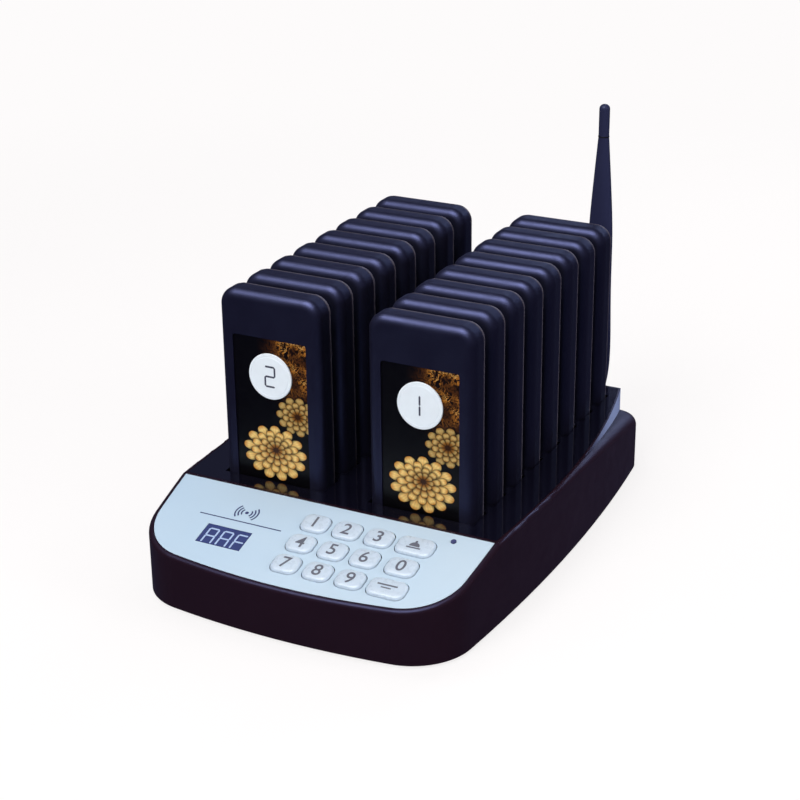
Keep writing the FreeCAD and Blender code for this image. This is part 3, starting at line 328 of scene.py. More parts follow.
def rubbed_edge(tone, start, pitch, low, high):
    """A function that paints a highlight tone, broken up by noise, on pieces that repeat along Y, from low to
    high in each.
    """
    def lay(graph, surface):
        along = graph.node("SeparateXYZ", {0: graph.place()}).outputs["Y"]
        depth_in = graph.maths("FLOORED_MODULO", graph.maths("SUBTRACT", along, start), pitch)
        soft = 0.25 * MM
        band = graph.maths("MULTIPLY", graph.range(depth_in, low - soft, low + soft),
                           graph.range(depth_in, high - soft, high + soft, 1.0, 0.0))
        patchiness = graph.range(graph.noise(1.2 * MM, 4, 0.7), 0.3, 0.7, 0.45, 1.0)
        return graph.blend(graph.maths("MULTIPLY", band, patchiness), surface, linear(tone))
    return lay


def deck_ring(graph, roughness, normal):
    """Polish on the case's top and on the deck's flank, whose foot runs out in a hollow round."""
    rim_height = 42.5 * MM
    half_width, taper = 88.4 * MM, 0.146
    shoulder_foot = 29 * MM
    place = graph.node("SeparateXYZ", {0: graph.place()}).outputs
    facing = graph.node("SeparateXYZ", {0: graph.node("TexCoord", {}).outputs["Normal"]}).outputs["Z"]
    upright = graph.range(facing, 0.3, 0.4, 1.0, 0.0)
    across = graph.maths("MULTIPLY_ADD", place["Y"], taper, graph.maths("ABSOLUTE", place["X"]))
    within = graph.range(across, half_width, half_width + 0.5 * MM, 1.0, 0.0)
    rear = graph.range(place["Y"], 16 * MM, 30 * MM)
    raised = graph.range(place["Z"], shoulder_foot, shoulder_foot + 0.5 * MM)
    flank = graph.maths("MULTIPLY", graph.maths("MULTIPLY", upright, within),
                        graph.maths("MULTIPLY", rear, raised))
    top = graph.range(place["Z"], rim_height - 0.7 * MM, rim_height - 0.3 * MM, 0.0, 0.45)
    shine = graph.maths("MAXIMUM", flank, top)
    down = graph.maths("MULTIPLY", graph.maths("SUBTRACT", rim_height, place["Z"]), flank)
    return (graph.maths("MULTIPLY", roughness, graph.range(shine, 0, 1, 1.0, 0.3)),
            graph.bump(down, 1.5, under=normal))


def satin_housing(settings):
    """The case's plastic, satin on the walls and polished round the deck."""
    return moulded("satin housing", settings.housing, 0.38, settings.grain, 0.012 * MM, specular=0.4,
                   tint=settings.sheen, polished=deck_ring)


def polished_deck(settings):
    """Piano black with faint polishing marks."""
    graph = Graph("polished deck")
    base = linear(settings.deck)
    haze = graph.noise(14 * MM, 4, 0.65)
    drawn_out = graph.node("Mapping", {"Vector": graph.place(), "Scale": (1, 14, 1)}).outputs[0]
    marks = graph.node("TexNoise", {"Vector": drawn_out, "Scale": 90, "Detail": 3}).outputs[0]
    graph.set(Base_Color=graph.blend(haze, base, scaled(base, 1.5)))
    graph.set(Roughness=graph.maths("ADD", graph.range(haze, 0.35, 0.7, 0.05, 0.09),
                                    graph.range(marks, 0.45, 0.7, 0.0, 0.03)))
    graph.set(Normal=graph.bump(graph.noise(30 * MM, 1), 0.02 * MM))
    graph.set(Specular_IOR_Level=0.6, Coat_Weight=0.6, Coat_Roughness=0.06)
    return graph.material


def metal(name, tone, rough):
    """Turned metal with fine scratches."""
    graph = Graph(name)
    scratches = graph.noise(0.5 * MM, 4, 0.7)
    dull = scaled(linear(tone), 0.7)
    graph.set(Base_Color=graph.blend(graph.range(scratches, 0.3, 0.75), linear(tone), dull))
    graph.set(Roughness=graph.range(scratches, 0.3, 0.7, rough * 0.8, rough * 1.3))
    graph.set(Normal=graph.bump(scratches, 0.004 * MM))
    graph.set(Metallic=1.0)
    return graph.material


def circuit_green():
    """Solder mask with faint tracks under it."""
    graph = Graph("circuit board")
    tracks = graph.node("TexVoronoi", {"Vector": graph.place(), "Scale": 260},
                        feature="DISTANCE_TO_EDGE").outputs[0]
    line = graph.range(tracks, 0.02, 0.06)
    graph.set(Base_Color=graph.blend(line, (0.02, 0.13, 0.06, 1), (0.008, 0.06, 0.03, 1)))
    graph.set(Roughness=graph.range(graph.noise(3 * MM), 0.3, 0.7, 0.3, 0.42))
    graph.set(Normal=graph.bump(line, 0.02 * MM))
    return graph.material


def panel_label(settings):
    """Satin printed film: a pale tone that deepens a little across, with a fine tooth."""
    graph = Graph("panel label")
    tone = linear(settings.label)
    deeper = [tone[0] * 0.9, tone[1] * 0.95, tone[2], 1]
    split = graph.node("SeparateXYZ", {0: graph.place()})
    drift = graph.range(split.outputs["X"], -0.09, 0.09)
    cloud = graph.range(graph.noise(35 * MM, 2), 0.3, 0.7, -0.15, 0.15)
    fleck = graph.range(graph.noise(0.25 * MM, 1), 0.35, 0.65, 0.985, 1.0)
    ground = graph.blend(graph.maths("ADD", drift, cloud, clamp=True), deeper, tone)
    graph.set(Base_Color=graph.blend(1.0, ground, fleck, "MULTIPLY"))
    graph.set(Roughness=graph.range(graph.noise(6 * MM, 3), 0.3, 0.7, 0.4, 0.5))
    graph.set(Normal=graph.bump(graph.noise(0.3 * MM, 2), 0.006 * MM))
    graph.set(Specular_IOR_Level=0.2)
    return graph.material


def printed_ink(name, tone, specular=0.3):
    """Screen printed ink: slightly mottled and a little matter than what it lies on."""
    graph = Graph(name)
    base = linear(tone)
    mottle = graph.noise(0.4 * MM, 3)
    graph.set(Base_Color=graph.blend(mottle, scaled(base, 0.85), base))
    graph.set(Roughness=graph.range(mottle, 0.3, 0.7, 0.5, 0.6))
    graph.set(Normal=graph.bump(mottle, 0.004 * MM))
    graph.set(Specular_IOR_Level=specular)
    return graph.material


def key_cap_plastic(settings):
    """Milky key plastic that lets a little light in under its surface."""
    graph = Graph("key cap")
    tone = linear(settings.cap)
    cloud = graph.noise(5 * MM, 2)
    graph.set(Base_Color=graph.blend(cloud, scaled(tone, 0.93), tone))
    graph.set(Roughness=graph.range(graph.noise(2 * MM, 3), 0.3, 0.7, 0.24, 0.34))
    graph.set(Normal=graph.bump(graph.noise(0.4 * MM, 2), 0.006 * MM))
    graph.set(Subsurface_Weight=0.25, Subsurface_Radius=(1, 1.1, 1.3), Subsurface_Scale=0.8 * MM)
    return graph.material


def display_acrylic(settings):
    """Tinted acrylic of the display: slate blue, a little uneven in its depth."""
    graph = Graph("display window")
    tone = linear(settings.window)
    depth = graph.noise(7 * MM, 2)
    graph.set(Base_Color=graph.blend(depth, scaled(tone, 0.75), tone))
    graph.set(Roughness=graph.range(graph.noise(2 * MM, 3), 0.3, 0.7, 0.12, 0.2))
    graph.set(Normal=graph.bump(graph.noise(10 * MM, 1), 0.01 * MM))
    return graph.material


def lit_segment(settings):
    """Bars of the display, which glow a little by themselves."""
    graph = Graph("lit digits")
    tone = linear(settings.lit)
    graph.set(Base_Color=graph.blend(graph.noise(0.8 * MM, 2), scaled(tone, 0.85), tone))
    graph.set(Roughness=graph.range(graph.noise(1 * MM, 2), 0.3, 0.7, 0.3, 0.45))
    graph.set(Emission_Color=tone, Emission_Strength=0.15)
    return graph.material


def disc_plastic(settings):
    """Pearly white disc with a fine satin tooth."""
    graph = Graph("number disc")
    tone = linear(settings.disc)
    graph.set(Base_Color=graph.blend(graph.noise(4 * MM, 2), scaled(tone, 0.93), tone))
    graph.set(Roughness=graph.range(graph.noise(2 * MM, 2), 0.3, 0.7, 0.32, 0.42))
    graph.set(Normal=graph.bump(graph.noise(0.3 * MM, 2), 0.005 * MM))
    return graph.material


# ---------------------------------------------------------------- the pagers' picture

# Flowers of the picture, from the lowest layer up: middle in mm from the picture's lower left corner,
# outer radius, number of petals, turn in petals, flattening, and how light the flower is.
FLOWERS = [
    (33.5, 37.5, 11.5, 11, 0.0, 0.86, 0.55),
    (33.5, 37.5, 8.2, 11, 0.5, 0.86, 0.65),
    (33.5, 37.5, 5.0, 9, 0.2, 0.86, 0.5),
    (20.5, 16.5, 17.2, 13, 0.3, 0.82, 0.95),
    (20.5, 17.0, 13.0, 13, 0.8, 0.82, 1.0),
    (20.8, 17.5, 9.0, 11, 0.1, 0.84, 0.85),
    (21.0, 18.0, 5.2, 9, 0.6, 0.86, 0.6),
]


def petals(graph, x, y, flower, under, tones):
    """Lays one ring of shaded petals over what is under it."""
    middle_x, middle_y, radius, number, turn, flat, light = flower
    dx = graph.maths("SUBTRACT", x, middle_x)
    dy = graph.maths("DIVIDE", graph.maths("SUBTRACT", y, middle_y), flat)
    reach = graph.maths("SQRT", graph.maths("MULTIPLY_ADD", dx, dx, graph.maths("MULTIPLY", dy, dy)))
    angle = graph.maths("ARCTAN2", dy, dx)
    step = graph.maths("FRACT", graph.maths("MULTIPLY_ADD", angle, number / math.tau, turn + number))
    side = graph.maths("ABSOLUTE", graph.maths("MULTIPLY_ADD", step, 2.0, -1.0))
    hollow = graph.maths("MULTIPLY", graph.maths("POWER", side, 2.4), 0.24 * radius)
    edge = graph.maths("SUBTRACT", radius, hollow)
    inside = graph.range(graph.maths("SUBTRACT", edge, reach), -0.06, 0.06, smooth=True)
    shadow = graph.range(graph.maths("SUBTRACT", reach, edge), 0.0, 1.6, 0.25, 1.0, smooth=True)
    along = graph.maths("DIVIDE", reach, radius)
    cream, amber, brown = tones
    tone = graph.ramp(along, (0.25, brown), (0.55, amber), (0.86, cream), (1.0, amber))
    fold = graph.range(side, 0.35, 1.0, light, 0.2 * light, smooth=True)
    vein = graph.range(graph.maths("SINE", graph.maths("MULTIPLY", angle, number * 5.0)), -1, 1, 0.86, 1.0)
    shade = graph.maths("MULTIPLY", fold, vein)
    petal = graph.blend(1.0, tone, shade, "MULTIPLY")
    return graph.blend(inside, graph.blend(1.0, under, shadow, "MULTIPLY"), petal)


def picture_print(settings):
    """Golden flowers, and thin wisps in the upper right corner, on a near-black ground."""
    graph = Graph("picture print")
    tones = [linear(settings.cream), linear(settings.amber), linear(settings.brown)]
    split = graph.node("SeparateXYZ", {0: graph.node("TexCoord", {}).outputs["UV"]})
    x = graph.maths("MULTIPLY", split.outputs["X"], PICTURE_HEIGHT / MM)
    y = graph.maths("MULTIPLY", split.outputs["Y"], PICTURE_HEIGHT / MM)
    spread = graph.node("CombineXYZ", {"X": x, "Y": y}).outputs[0]
    wisps = graph.node("TexNoise", {"Vector": spread, "Scale": 0.3, "Detail": 6, "Roughness": 0.72,
                                    "Distortion": 1.2}).outputs["Fac"]
    veil = graph.node("TexNoise", {"Vector": spread, "Scale": 0.1, "Detail": 3}).outputs["Fac"]
    ridge = graph.maths("ABSOLUTE", graph.maths("SUBTRACT", wisps, 0.5))
    fleck = graph.range(ridge, 0.0, 0.07, 1.0, 0.0, smooth=True)
    corner = graph.maths("MULTIPLY", graph.range(x, 12, 26, smooth=True), graph.range(y, 42, 52, smooth=True))
    amount = graph.maths("MULTIPLY", graph.maths("MULTIPLY", fleck, corner),
                         graph.range(veil, 0.35, 0.6, 0.4, 1.0))
    cream, amber, brown = tones
    tone = graph.ramp(amount, (0.0, linear(settings.paper)), (0.55, brown), (0.95, amber), (1.0, cream))
    for flower in FLOWERS:
        tone = petals(graph, x, y, flower, tone, tones)
    graph.set(Base_Color=tone)
    graph.set(Roughness=graph.range(graph.noise(3 * MM, 2), 0.3, 0.7, 0.28, 0.36))
    graph.set(Normal=graph.bump(graph.noise(0.3 * MM, 1), 0.003 * MM))
    graph.set(Specular_IOR_Level=0.3)
    return graph.material


# ---------------------------------------------------------------- modelling helpers

def alone(piece):
    """Selects one piece and nothing else."""
    bpy.ops.object.select_all(action="DESELECT")
    piece.select_set(True)
    bpy.context.view_layer.objects.active = piece
    return piece


def named(name):
    """Names the object that was made last, and its mesh."""
    piece = bpy.context.object
    piece.name = piece.data.name = name
    return piece


def block(name, size):
    """A box about the origin, its size in its mesh."""
    bpy.ops.object.select_all(action="DESELECT")
    bpy.ops.mesh.primitive_cube_add(size=1, scale=size)
    bpy.ops.object.transform_apply(location=False, rotation=False, scale=True)
    return named(name)


def drum(name, radius, height, sides):
    """A round plate or rod about the origin, upright."""
    bpy.ops.object.select_all(action="DESELECT")
    bpy.ops.mesh.primitive_cylinder_add(vertices=sides, radius=radius, depth=height)
    return named(name)


def pick(piece, kind, test):
    """Goes into edit mode with the faces or edges that pass a test selected, and nothing else."""
    alone(piece)
    bpy.ops.object.mode_set(mode="EDIT")
    bpy.ops.mesh.select_mode(type="FACE" if kind == "faces" else "EDGE")
    bpy.ops.mesh.select_all(action="DESELECT")
    shape = bmesh.from_edit_mesh(piece.data)
    for item in getattr(shape, kind):
        item.select_set(bool(test(item)))
    bmesh.update_edit_mesh(piece.data)


def leave():
    """Goes back from edit mode."""
    bpy.ops.object.mode_set(mode="OBJECT")


def along_z(edge):
    """Whether an edge stands upright."""
    first, second = (vertex.co for vertex in edge.verts)
    return abs((first - second).normalized().z) > 0.99


def place(piece, matrix):
    """Puts a finished piece in place, with its place in its mesh."""
    piece.matrix_world = matrix
    alone(piece)
    bpy.ops.object.transform_apply(location=True, rotation=True, scale=True)
    return piece


def joined(name, pieces):
    """Joins pieces into the first one."""
    alone(pieces[0])
    for piece in pieces[1:]:
        piece.select_set(True)
    bpy.ops.object.join()
    return named(name)


def twin(piece, name):
    """A copy of a piece with its own mesh."""
    copy = bpy.data.objects.new(name, piece.data.copy())
    copy.data.name = name
    bpy.context.scene.collection.objects.link(copy)
    return copy


def smooth(piece, angle=35):
    """Shades a piece smooth, save at edges sharper than an angle in degrees."""
    alone(piece)
    bpy.ops.object.shade_smooth_by_angle(angle=math.radians(angle))
    return piece


def dress(piece, material):
    """Gives a piece one material in place of any other."""
    piece.data.materials.clear()
    piece.data.materials.append(material)
    return piece


def dress_nodes(material, *names):
    """Gives nodes of the frame a material."""
    for name in names:
        dress(frame["nodes"][name], material)


def bar(name, long, stroke, depth):
    """One bar of a digit, with both ends pointed."""
    piece = block(name, (long, stroke, depth))
    pick(piece, "edges", along_z)
    bpy.ops.mesh.bevel(offset=0.46 * stroke, segments=1, affect="EDGES")
    leave()
    return piece


def digits(name, text, width, height, stroke, depth, space, gap=0.12):
    """A row of seven-bar figures about the origin, facing up."""
    flat = bar("flat_bar", width - gap * stroke, stroke, depth)
    tall = bar("tall_bar", height / 2 - gap * stroke, stroke, depth)
    pieces = []
    for column, digit in enumerate(text):
        left = (column - (len(text) - 1) / 2) * (width + space)
        for letter in DIGIT_BARS[digit]:
            across, up, lies = BAR_PLACES[letter]
            middle = Vector((left + across * width / 2, up * height / 2, 0))
            turn = Matrix() if lies else Matrix.Rotation(math.pi / 2, 4, "Z")
            copy = twin(flat if lies else tall, "digit_bar")
            pieces.append(place(copy, Matrix.Translation(middle) @ turn))
    for model in (flat, tall):
        bpy.data.objects.remove(model)
    return joined(name, pieces)


def centre(piece):
    """Moves a piece so that its middle in plan is at the origin."""
    corners = [Vector(corner) for corner in piece.bound_box]
    middle = sum(corners, Vector()) / len(corners)
    return place(piece, Matrix.Translation((-middle.x, -middle.y, 0)))


def word(name, text, size, weight, depth):
    """Type as a thin solid about the origin, facing up."""
    bpy.ops.object.select_all(action="DESELECT")
    bpy.ops.object.text_add()
    piece = bpy.context.object
    piece.data.body = text
    piece.data.size = size
    piece.data.align_x = "CENTER"
    piece.data.align_y = "CENTER"
    piece.data.extrude = depth / 2
    piece.data.offset = weight
    bpy.ops.object.convert(target="MESH")
    return centre(named(name))


def on_panel(across, up, lift):
    """The matrix of a place on the panel, counted from the middle of its back edge."""
    turn = PANEL_TURN.to_4x4()
    return Matrix.Translation(PANEL_ORIGIN + across * ACROSS + up * UP_SLOPE + lift * LIFT) @ turn


def panel_extent(name, above=None):
    """Lowest and highest across, up and lift of a node; above leaves out what lies lower."""
    to_panel = PANEL_TURN.transposed()
    points = [to_panel @ (vertex.co - PANEL_ORIGIN) for vertex in frame["nodes"][name].data.vertices]
    points = [point for point in points if above is None or point.z > above]
    return [(min(values), max(values)) for values in zip(*points)]


def panel_origin():
    """Middle of the back edge of the panel label's upper face."""
    corners = [vertex.co for vertex in frame["nodes"]["keypad_overlay"].data.vertices]
    up = max(corner.dot(UP_SLOPE) for corner in corners)
    lift = max(corner.dot(LIFT) for corner in corners)
    return up * UP_SLOPE + lift * LIFT


PANEL_ORIGIN = panel_origin()


# ---------------------------------------------------------------- operators

class PAGERS_OT_base(bpy.types.Operator):
    """Finishes the case, its feet and screws, and the inlet and socket at the rear"""
    bl_idname = "pagers.base"
    bl_label = "Base"

    def execute(self, context):
        settings = context.scene.pager_base
        dress_nodes(satin_housing(settings), "upper_housing")
        dress_nodes(moulded("bottom cover", settings.floor, 0.55, settings.grain, 0.02 * MM, specular=0.2),
                    "lower_housing")
        dress_nodes(moulded("foot rubber", settings.rubber, 0.75, 0.5 * MM, 0.03 * MM, specular=0.15),
                    "rubber_feet")
        dress_nodes(moulded("inlet plastic", settings.floor, 0.35, 0.4 * MM, 0.006 * MM), "power_inlet")
        dress_nodes(metal("screw steel", context.scene.pager_antenna.metal, 0.35), "case_screws")
        dress_nodes(metal("socket brass", (0.80, 0.68, 0.42), 0.3), "antenna_socket")
        return {"FINISHED"}


class PAGERS_OT_deck(bpy.types.Operator):
    """Finishes the polished charging deck, its contacts and the boards under it"""
    bl_idname = "pagers.deck"
    bl_label = "Charging deck"

    def execute(self, context):
        dress_nodes(polished_deck(context.scene.pager_base), "charging_deck")
        dress_nodes(metal("contact gold", (0.93, 0.78, 0.45), 0.22), "charging_contacts")
        dress_nodes(circuit_green(), "main_board", "keypad_board")
        return {"FINISHED"}


class PAGERS_OT_panel(bpy.types.Operator):
    """Finishes the panel label and adds its printed mark, the display digits and the status light"""
    bl_idname = "pagers.panel"
    bl_label = "Control panel"

    def execute(self, context):
        settings = context.scene.pager_panel
        dress_nodes(panel_label(settings), "keypad_overlay")
        dress_nodes(display_acrylic(settings), "display_window")
        dress_nodes(moulded("display module", (0.12, 0.12, 0.14), 0.5, 0.3 * MM, 0.01 * MM), "display_module")
        dress_nodes(moulded("status light", settings.ink, 0.2, 0.3 * MM, 0.002 * MM, specular=0.5),
                    "status_light")
        self.display(settings)
        self.mark(settings)
        return {"FINISHED"}

    def display(self, settings):
        """Three digits that sit low in the window and close to its right end."""
        across, up, lift = panel_extent("display_window")
        aside, foot = 1.1 * MM, 0.3 * MM
        depth, proud = 0.1 * MM, 0.02 * MM
        space = (across[1] - across[0] - 3 * settings.digit_width) / 3.1
        row = digits("display_digits", settings.shown, settings.digit_width, settings.digit_height,
                     settings.digit_stroke, depth, space)
        middle = up[0] + foot + settings.digit_height / 2
        place(row, on_panel(sum(across) / 2 + aside, middle, lift[1] + proud))
        dress(smooth(row), lit_segment(settings))
        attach(row, "base")

    def mark(self, settings):
        """A plain printed mark: waves that spread from a dot, over a thin rule."""
        depth = 0.1 * MM
        pieces = [drum("mark_dot", 0.9 * MM, depth, 32)]
        for reach in (2.6, 4.2, 5.8):
            pieces.append(self.wave(reach * MM, 0.7 * MM, depth))
        rule = block("mark_rule", (44 * MM, 0.6 * MM, depth))
        pieces.append(place(rule, Matrix.Translation((0, -6.4 * MM, 0))))
        mark = joined("panel_mark", pieces)
        across, up = panel_extent("display_window")[:2]
        place(mark, on_panel(sum(across) / 2 + 2 * MM, up[1] + 12 * MM, 0.03 * MM))
        dress(mark, printed_ink("panel ink", settings.ink))
        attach(mark, "base")

    def wave(self, reach, stroke, depth):
        """Two arcs, left and right of the dot, spun from one short block each."""
        half_turn = math.radians(42)
        sides = []
        for turn in (0, math.pi):
            piece = block("mark_wave", (stroke, 0.02 * MM, depth))
            place(piece, Matrix.Rotation(turn + half_turn, 4, "Z") @ Matrix.Translation((reach, 0, 0)))
            pick(piece, "faces", lambda face: face.calc_center_median().cross(face.normal).z < -0.5 * reach)
            bpy.ops.mesh.spin(steps=24, angle=2 * half_turn, center=(0, 0, 0), axis=(0, 0, 1))
            leave()
            sides.append(piece)
        return joined("mark_waves", sides)


class PAGERS_OT_keys(bpy.types.Operator):
    """Models the domed key caps with their legends"""
    bl_idname = "pagers.keys"
    bl_label = "Keys"

    def execute(self, context):
        settings = context.scene.pager_keys
        plastic = key_cap_plastic(settings)
        ink = printed_ink("key ink", settings.ink)
        for name in KEYS:
            cap_extent = panel_extent(name, above=0.2 * MM)
            all_extent = panel_extent(name)
            cap = dress(self.cap(name, cap_extent, all_extent, settings), plastic)
            legend = dress(self.legend(name, settings), ink)
            across, up = (sum(cap_extent[axis]) / 2 for axis in (0, 1))
            place(cap, on_panel(across, up, 0))
            place(legend, on_panel(across, up, cap_extent[2][1] + 0.01 * MM))
            piece = joined(name + "_cap", [cap, legend])
            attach(piece, name)
            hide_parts(name)
        return {"FINISHED"}

    def cap(self, name, cap_extent, all_extent, settings):
        """A flange with a round-cornered cap raised from it, its top softly domed."""
        width, depth = (high - low for low, high in cap_extent[:2])
        flange_width = all_extent[0][1] - all_extent[0][0]
        edge = (flange_width - width) / 2
        bottom, top = all_extent[2][0], cap_extent[2][1]
        flange, crown = 1.0 * MM, 0.3 * MM
        rise = top - crown - bottom - flange
        piece = block(name + "_blank", (flange_width, depth + 2 * edge, flange))
        place(piece, Matrix.Translation((0, 0, bottom + flange / 2)))
        pick(piece, "faces", lambda face: face.normal.z > 0.9)
        bpy.ops.mesh.inset(thickness=edge)
        bpy.ops.mesh.extrude_region_move(TRANSFORM_OT_translate={"value": (0, 0, rise)})
        leave()
        pick(piece, "edges",
             lambda side: along_z(side) and min(v.co.z for v in side.verts) > bottom + 0.9 * flange)
        bpy.ops.mesh.bevel(offset=settings.corner, segments=10, affect="EDGES")
        leave()
        high = top - crown - 0.001 * MM
        pick(piece, "edges", lambda side: all(v.co.z > high for v in side.verts))
        bpy.ops.mesh.bevel(offset=settings.edge, segments=6, affect="EDGES")
        leave()
        for step, dome in ((0.7, 0.15), (0.8, 0.1), (0.9, 0.05)):
            pick(piece, "faces", lambda face: face.normal.z > 0.99 and face.calc_center_median().z > high
                 and len(face.verts) > 8)
            bpy.ops.mesh.inset(thickness=step * MM, depth=dome * MM)
            leave()
        return smooth(piece, 40)

    def legend(self, name, settings):
        """The key's digit, or a plain sign on the two wide keys."""
        label = name.split("_")[1]
        depth = 0.06 * MM
        if label.isdigit():
            return word(name + "_legend", label, settings.legend_height, weight=0.09 * MM, depth=depth)
        if label == "call":
            return self.bell(name + "_legend", depth)
        return self.lines(name + "_legend", depth)

    def bell(self, name, depth):
        """A service bell: a dome on a foot, with its button on top."""
        dome = drum("bell_dome", 2.6 * MM, depth, 48)
        pick(dome, "faces", lambda face: True)
        bpy.ops.mesh.bisect(plane_co=(0, 0, 0), plane_no=(0, 1, 0), use_fill=True, clear_inner=True)
        leave()
        foot = block("bell_foot", (7.0 * MM, 0.8 * MM, depth))
        place(foot, Matrix.Translation((0, -0.9 * MM, 0)))
        knob = drum("bell_knob", 0.65 * MM, depth, 24)
        place(knob, Matrix.Translation((0, 3.1 * MM, 0)))
        return centre(joined(name, [dome, foot, knob]))

    def lines(self, name, depth):
        """Two short rules, the lower one shorter."""
        long = block("rule_long", (10 * MM, 0.9 * MM, depth))
        place(long, Matrix.Translation((0, 0.9 * MM, 0)))
        short = block("rule_short", (5 * MM, 0.7 * MM, depth))
        place(short, Matrix.Translation((0, -0.9 * MM, 0)))
        return joined(name, [long, short])


class PAGERS_OT_shells(bpy.types.Operator):
    """Finishes the front covers and rear shells of the pagers"""
    bl_idname = "pagers.shells"
    bl_label = "Pager shells"

    def execute(self, context):
        settings = context.scene.pager_pagers
        grain = context.scene.pager_base.grain
        front = moulded("pager cover", settings.shell, 0.46, grain, 0.012 * MM, specular=1.0,
                        tint=settings.sheen)
        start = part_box(PAGERS[0] + "_front_cover")[0].y
        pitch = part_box(PAGERS[2] + "_front_cover")[0].y - start
        # The rear shells get a painted highlight along their outer rim, 10.8 to 12.9 mm behind the front,
        # broken up by noise.
        back = moulded("pager rear shell", settings.back, 0.5, grain, 0.012 * MM, specular=0.4,
                       worn=rubbed_edge(settings.worn, start, pitch, 10.8 * MM, 12.9 * MM))
        for name in PAGERS:
            dress_nodes(front, name + "_front_cover")
            dress_nodes(back, name + "_rear_shell")
        return {"FINISHED"}


class PAGERS_OT_pictures(bpy.types.Operator):
    """Adds the picture card in the window of each pager"""
    bl_idname = "pagers.pictures"
    bl_label = "Pictures"

    def execute(self, context):
        width, height = PICTURE_WIDTH, PICTURE_HEIGHT
        card = block("picture_card", (width, height, CARD_THICKNESS))
        pick(card, "edges", along_z)
        bpy.ops.mesh.bevel(offset=1.4 * MM, segments=6, affect="EDGES")
        leave()
        sheet = card.data.uv_layers.active
        for loop in card.data.loops:
            point = card.data.vertices[loop.vertex_index].co
            sheet.data[loop.index].uv = ((point.x + width / 2) / height, (point.y + height / 2) / height)
        dress(card, picture_print(context.scene.pager_pagers))
        for name in PAGERS:
            low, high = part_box(name + "_front_cover")
            piece = twin(card, name + "_picture")
            middle = Vector(((low.x + high.x) / 2, low.y + WINDOW_RECESS - CARD_THICKNESS / 2,
                             low.z + PICTURE_FOOT + height / 2))
            place(piece, Matrix.Translation(middle) @ Matrix.Rotation(math.pi / 2, 4, "X"))
            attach(piece, name)
        bpy.data.objects.remove(card)
        return {"FINISHED"}


class PAGERS_OT_discs(bpy.types.Operator):
    """Adds the numbered disc on each pager's picture"""
    bl_idname = "pagers.discs"
    bl_label = "Number discs"

    def execute(self, context):
        settings = context.scene.pager_pagers
        plastic = disc_plastic(settings)
        ink = printed_ink("disc ink", settings.ink)
        model = dress(self.disc(settings), plastic)
        for name in PAGERS:
            number = str(int(name.split("_")[1]))
            low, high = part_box(name + "_front_cover")
            figure = digits("disc_number", number, settings.number_width, settings.number_height,
                            settings.number_stroke, depth=0.06 * MM, space=2.2 * MM)
            dress(centre(figure), ink)
            disc = twin(model, "disc_blank")
            floor = Vector(((low.x + high.x) / 2, low.y + WINDOW_RECESS - CARD_THICKNESS,
                            low.z + settings.disc_lift))
            upright = Matrix.Translation(floor) @ Matrix.Rotation(math.pi / 2, 4, "X")
            top = max(vertex.co.z for vertex in model.data.vertices)
            place(disc, upright)
            place(figure, upright @ Matrix.Translation((0, 0, top + 0.01 * MM)))
            piece = joined(name + "_disc", [disc, figure])
            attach(piece, name)
        bpy.data.objects.remove(model)
        return {"FINISHED"}

    def disc(self, settings):
        """A round plate on the origin's plane with a fine groove inside its rim."""
        thick = 0.7 * MM
        piece = drum("disc_model", settings.disc_radius, thick, 96)
        place(piece, Matrix.Translation((0, 0, thick / 2)))
        pick(piece, "edges", lambda side: all(v.co.z > thick - 0.001 * MM for v in side.verts))
        bpy.ops.mesh.bevel(offset=0.3 * MM, segments=3, affect="EDGES")
        leave()
        for step, rise in ((1.1, 0), (0.12, -0.12), (0.2, 0), (0.12, 0.12)):
            pick(piece, "faces", lambda face: len(face.verts) > 8 and face.normal.z > 0.9)
            bpy.ops.mesh.inset(thickness=step * MM, depth=rise * MM)
            leave()
        return smooth(piece, 30)


class PAGERS_OT_antenna(bpy.types.Operator):
    """Finishes the antenna's whip and its knuckle"""
    bl_idname = "pagers.antenna"
    bl_label = "Antenna"

    def execute(self, context):
        settings = context.scene.pager_antenna
        dress_nodes(moulded("antenna plastic", settings.whip, 0.45, 0.4 * MM, 0.012 * MM, specular=0.22,
                            tint=(0.8, 0.86, 1)), "antenna_whip", "antenna_knuckle")
        tip_length = 17 * MM
        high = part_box("antenna_whip")[1]
        swivel = next(joint for joint in frame["joints"] if joint["name"] == "antenna_swivel")
        seam = drum("antenna_tip_seam", 2.95 * MM, 0.7 * MM, 48)
        pick(seam, "edges", lambda side: not along_z(side))
        bpy.ops.mesh.bevel(offset=0.12 * MM, segments=2, affect="EDGES")
        leave()
        across, back = swivel["pos_m"][:2]
        place(smooth(seam), Matrix.Translation((across, back, high.z - tip_length)))
        dress(seam, printed_ink("tip seam", settings.seam))
        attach(seam, "antenna_whip")
        return {"FINISHED"}


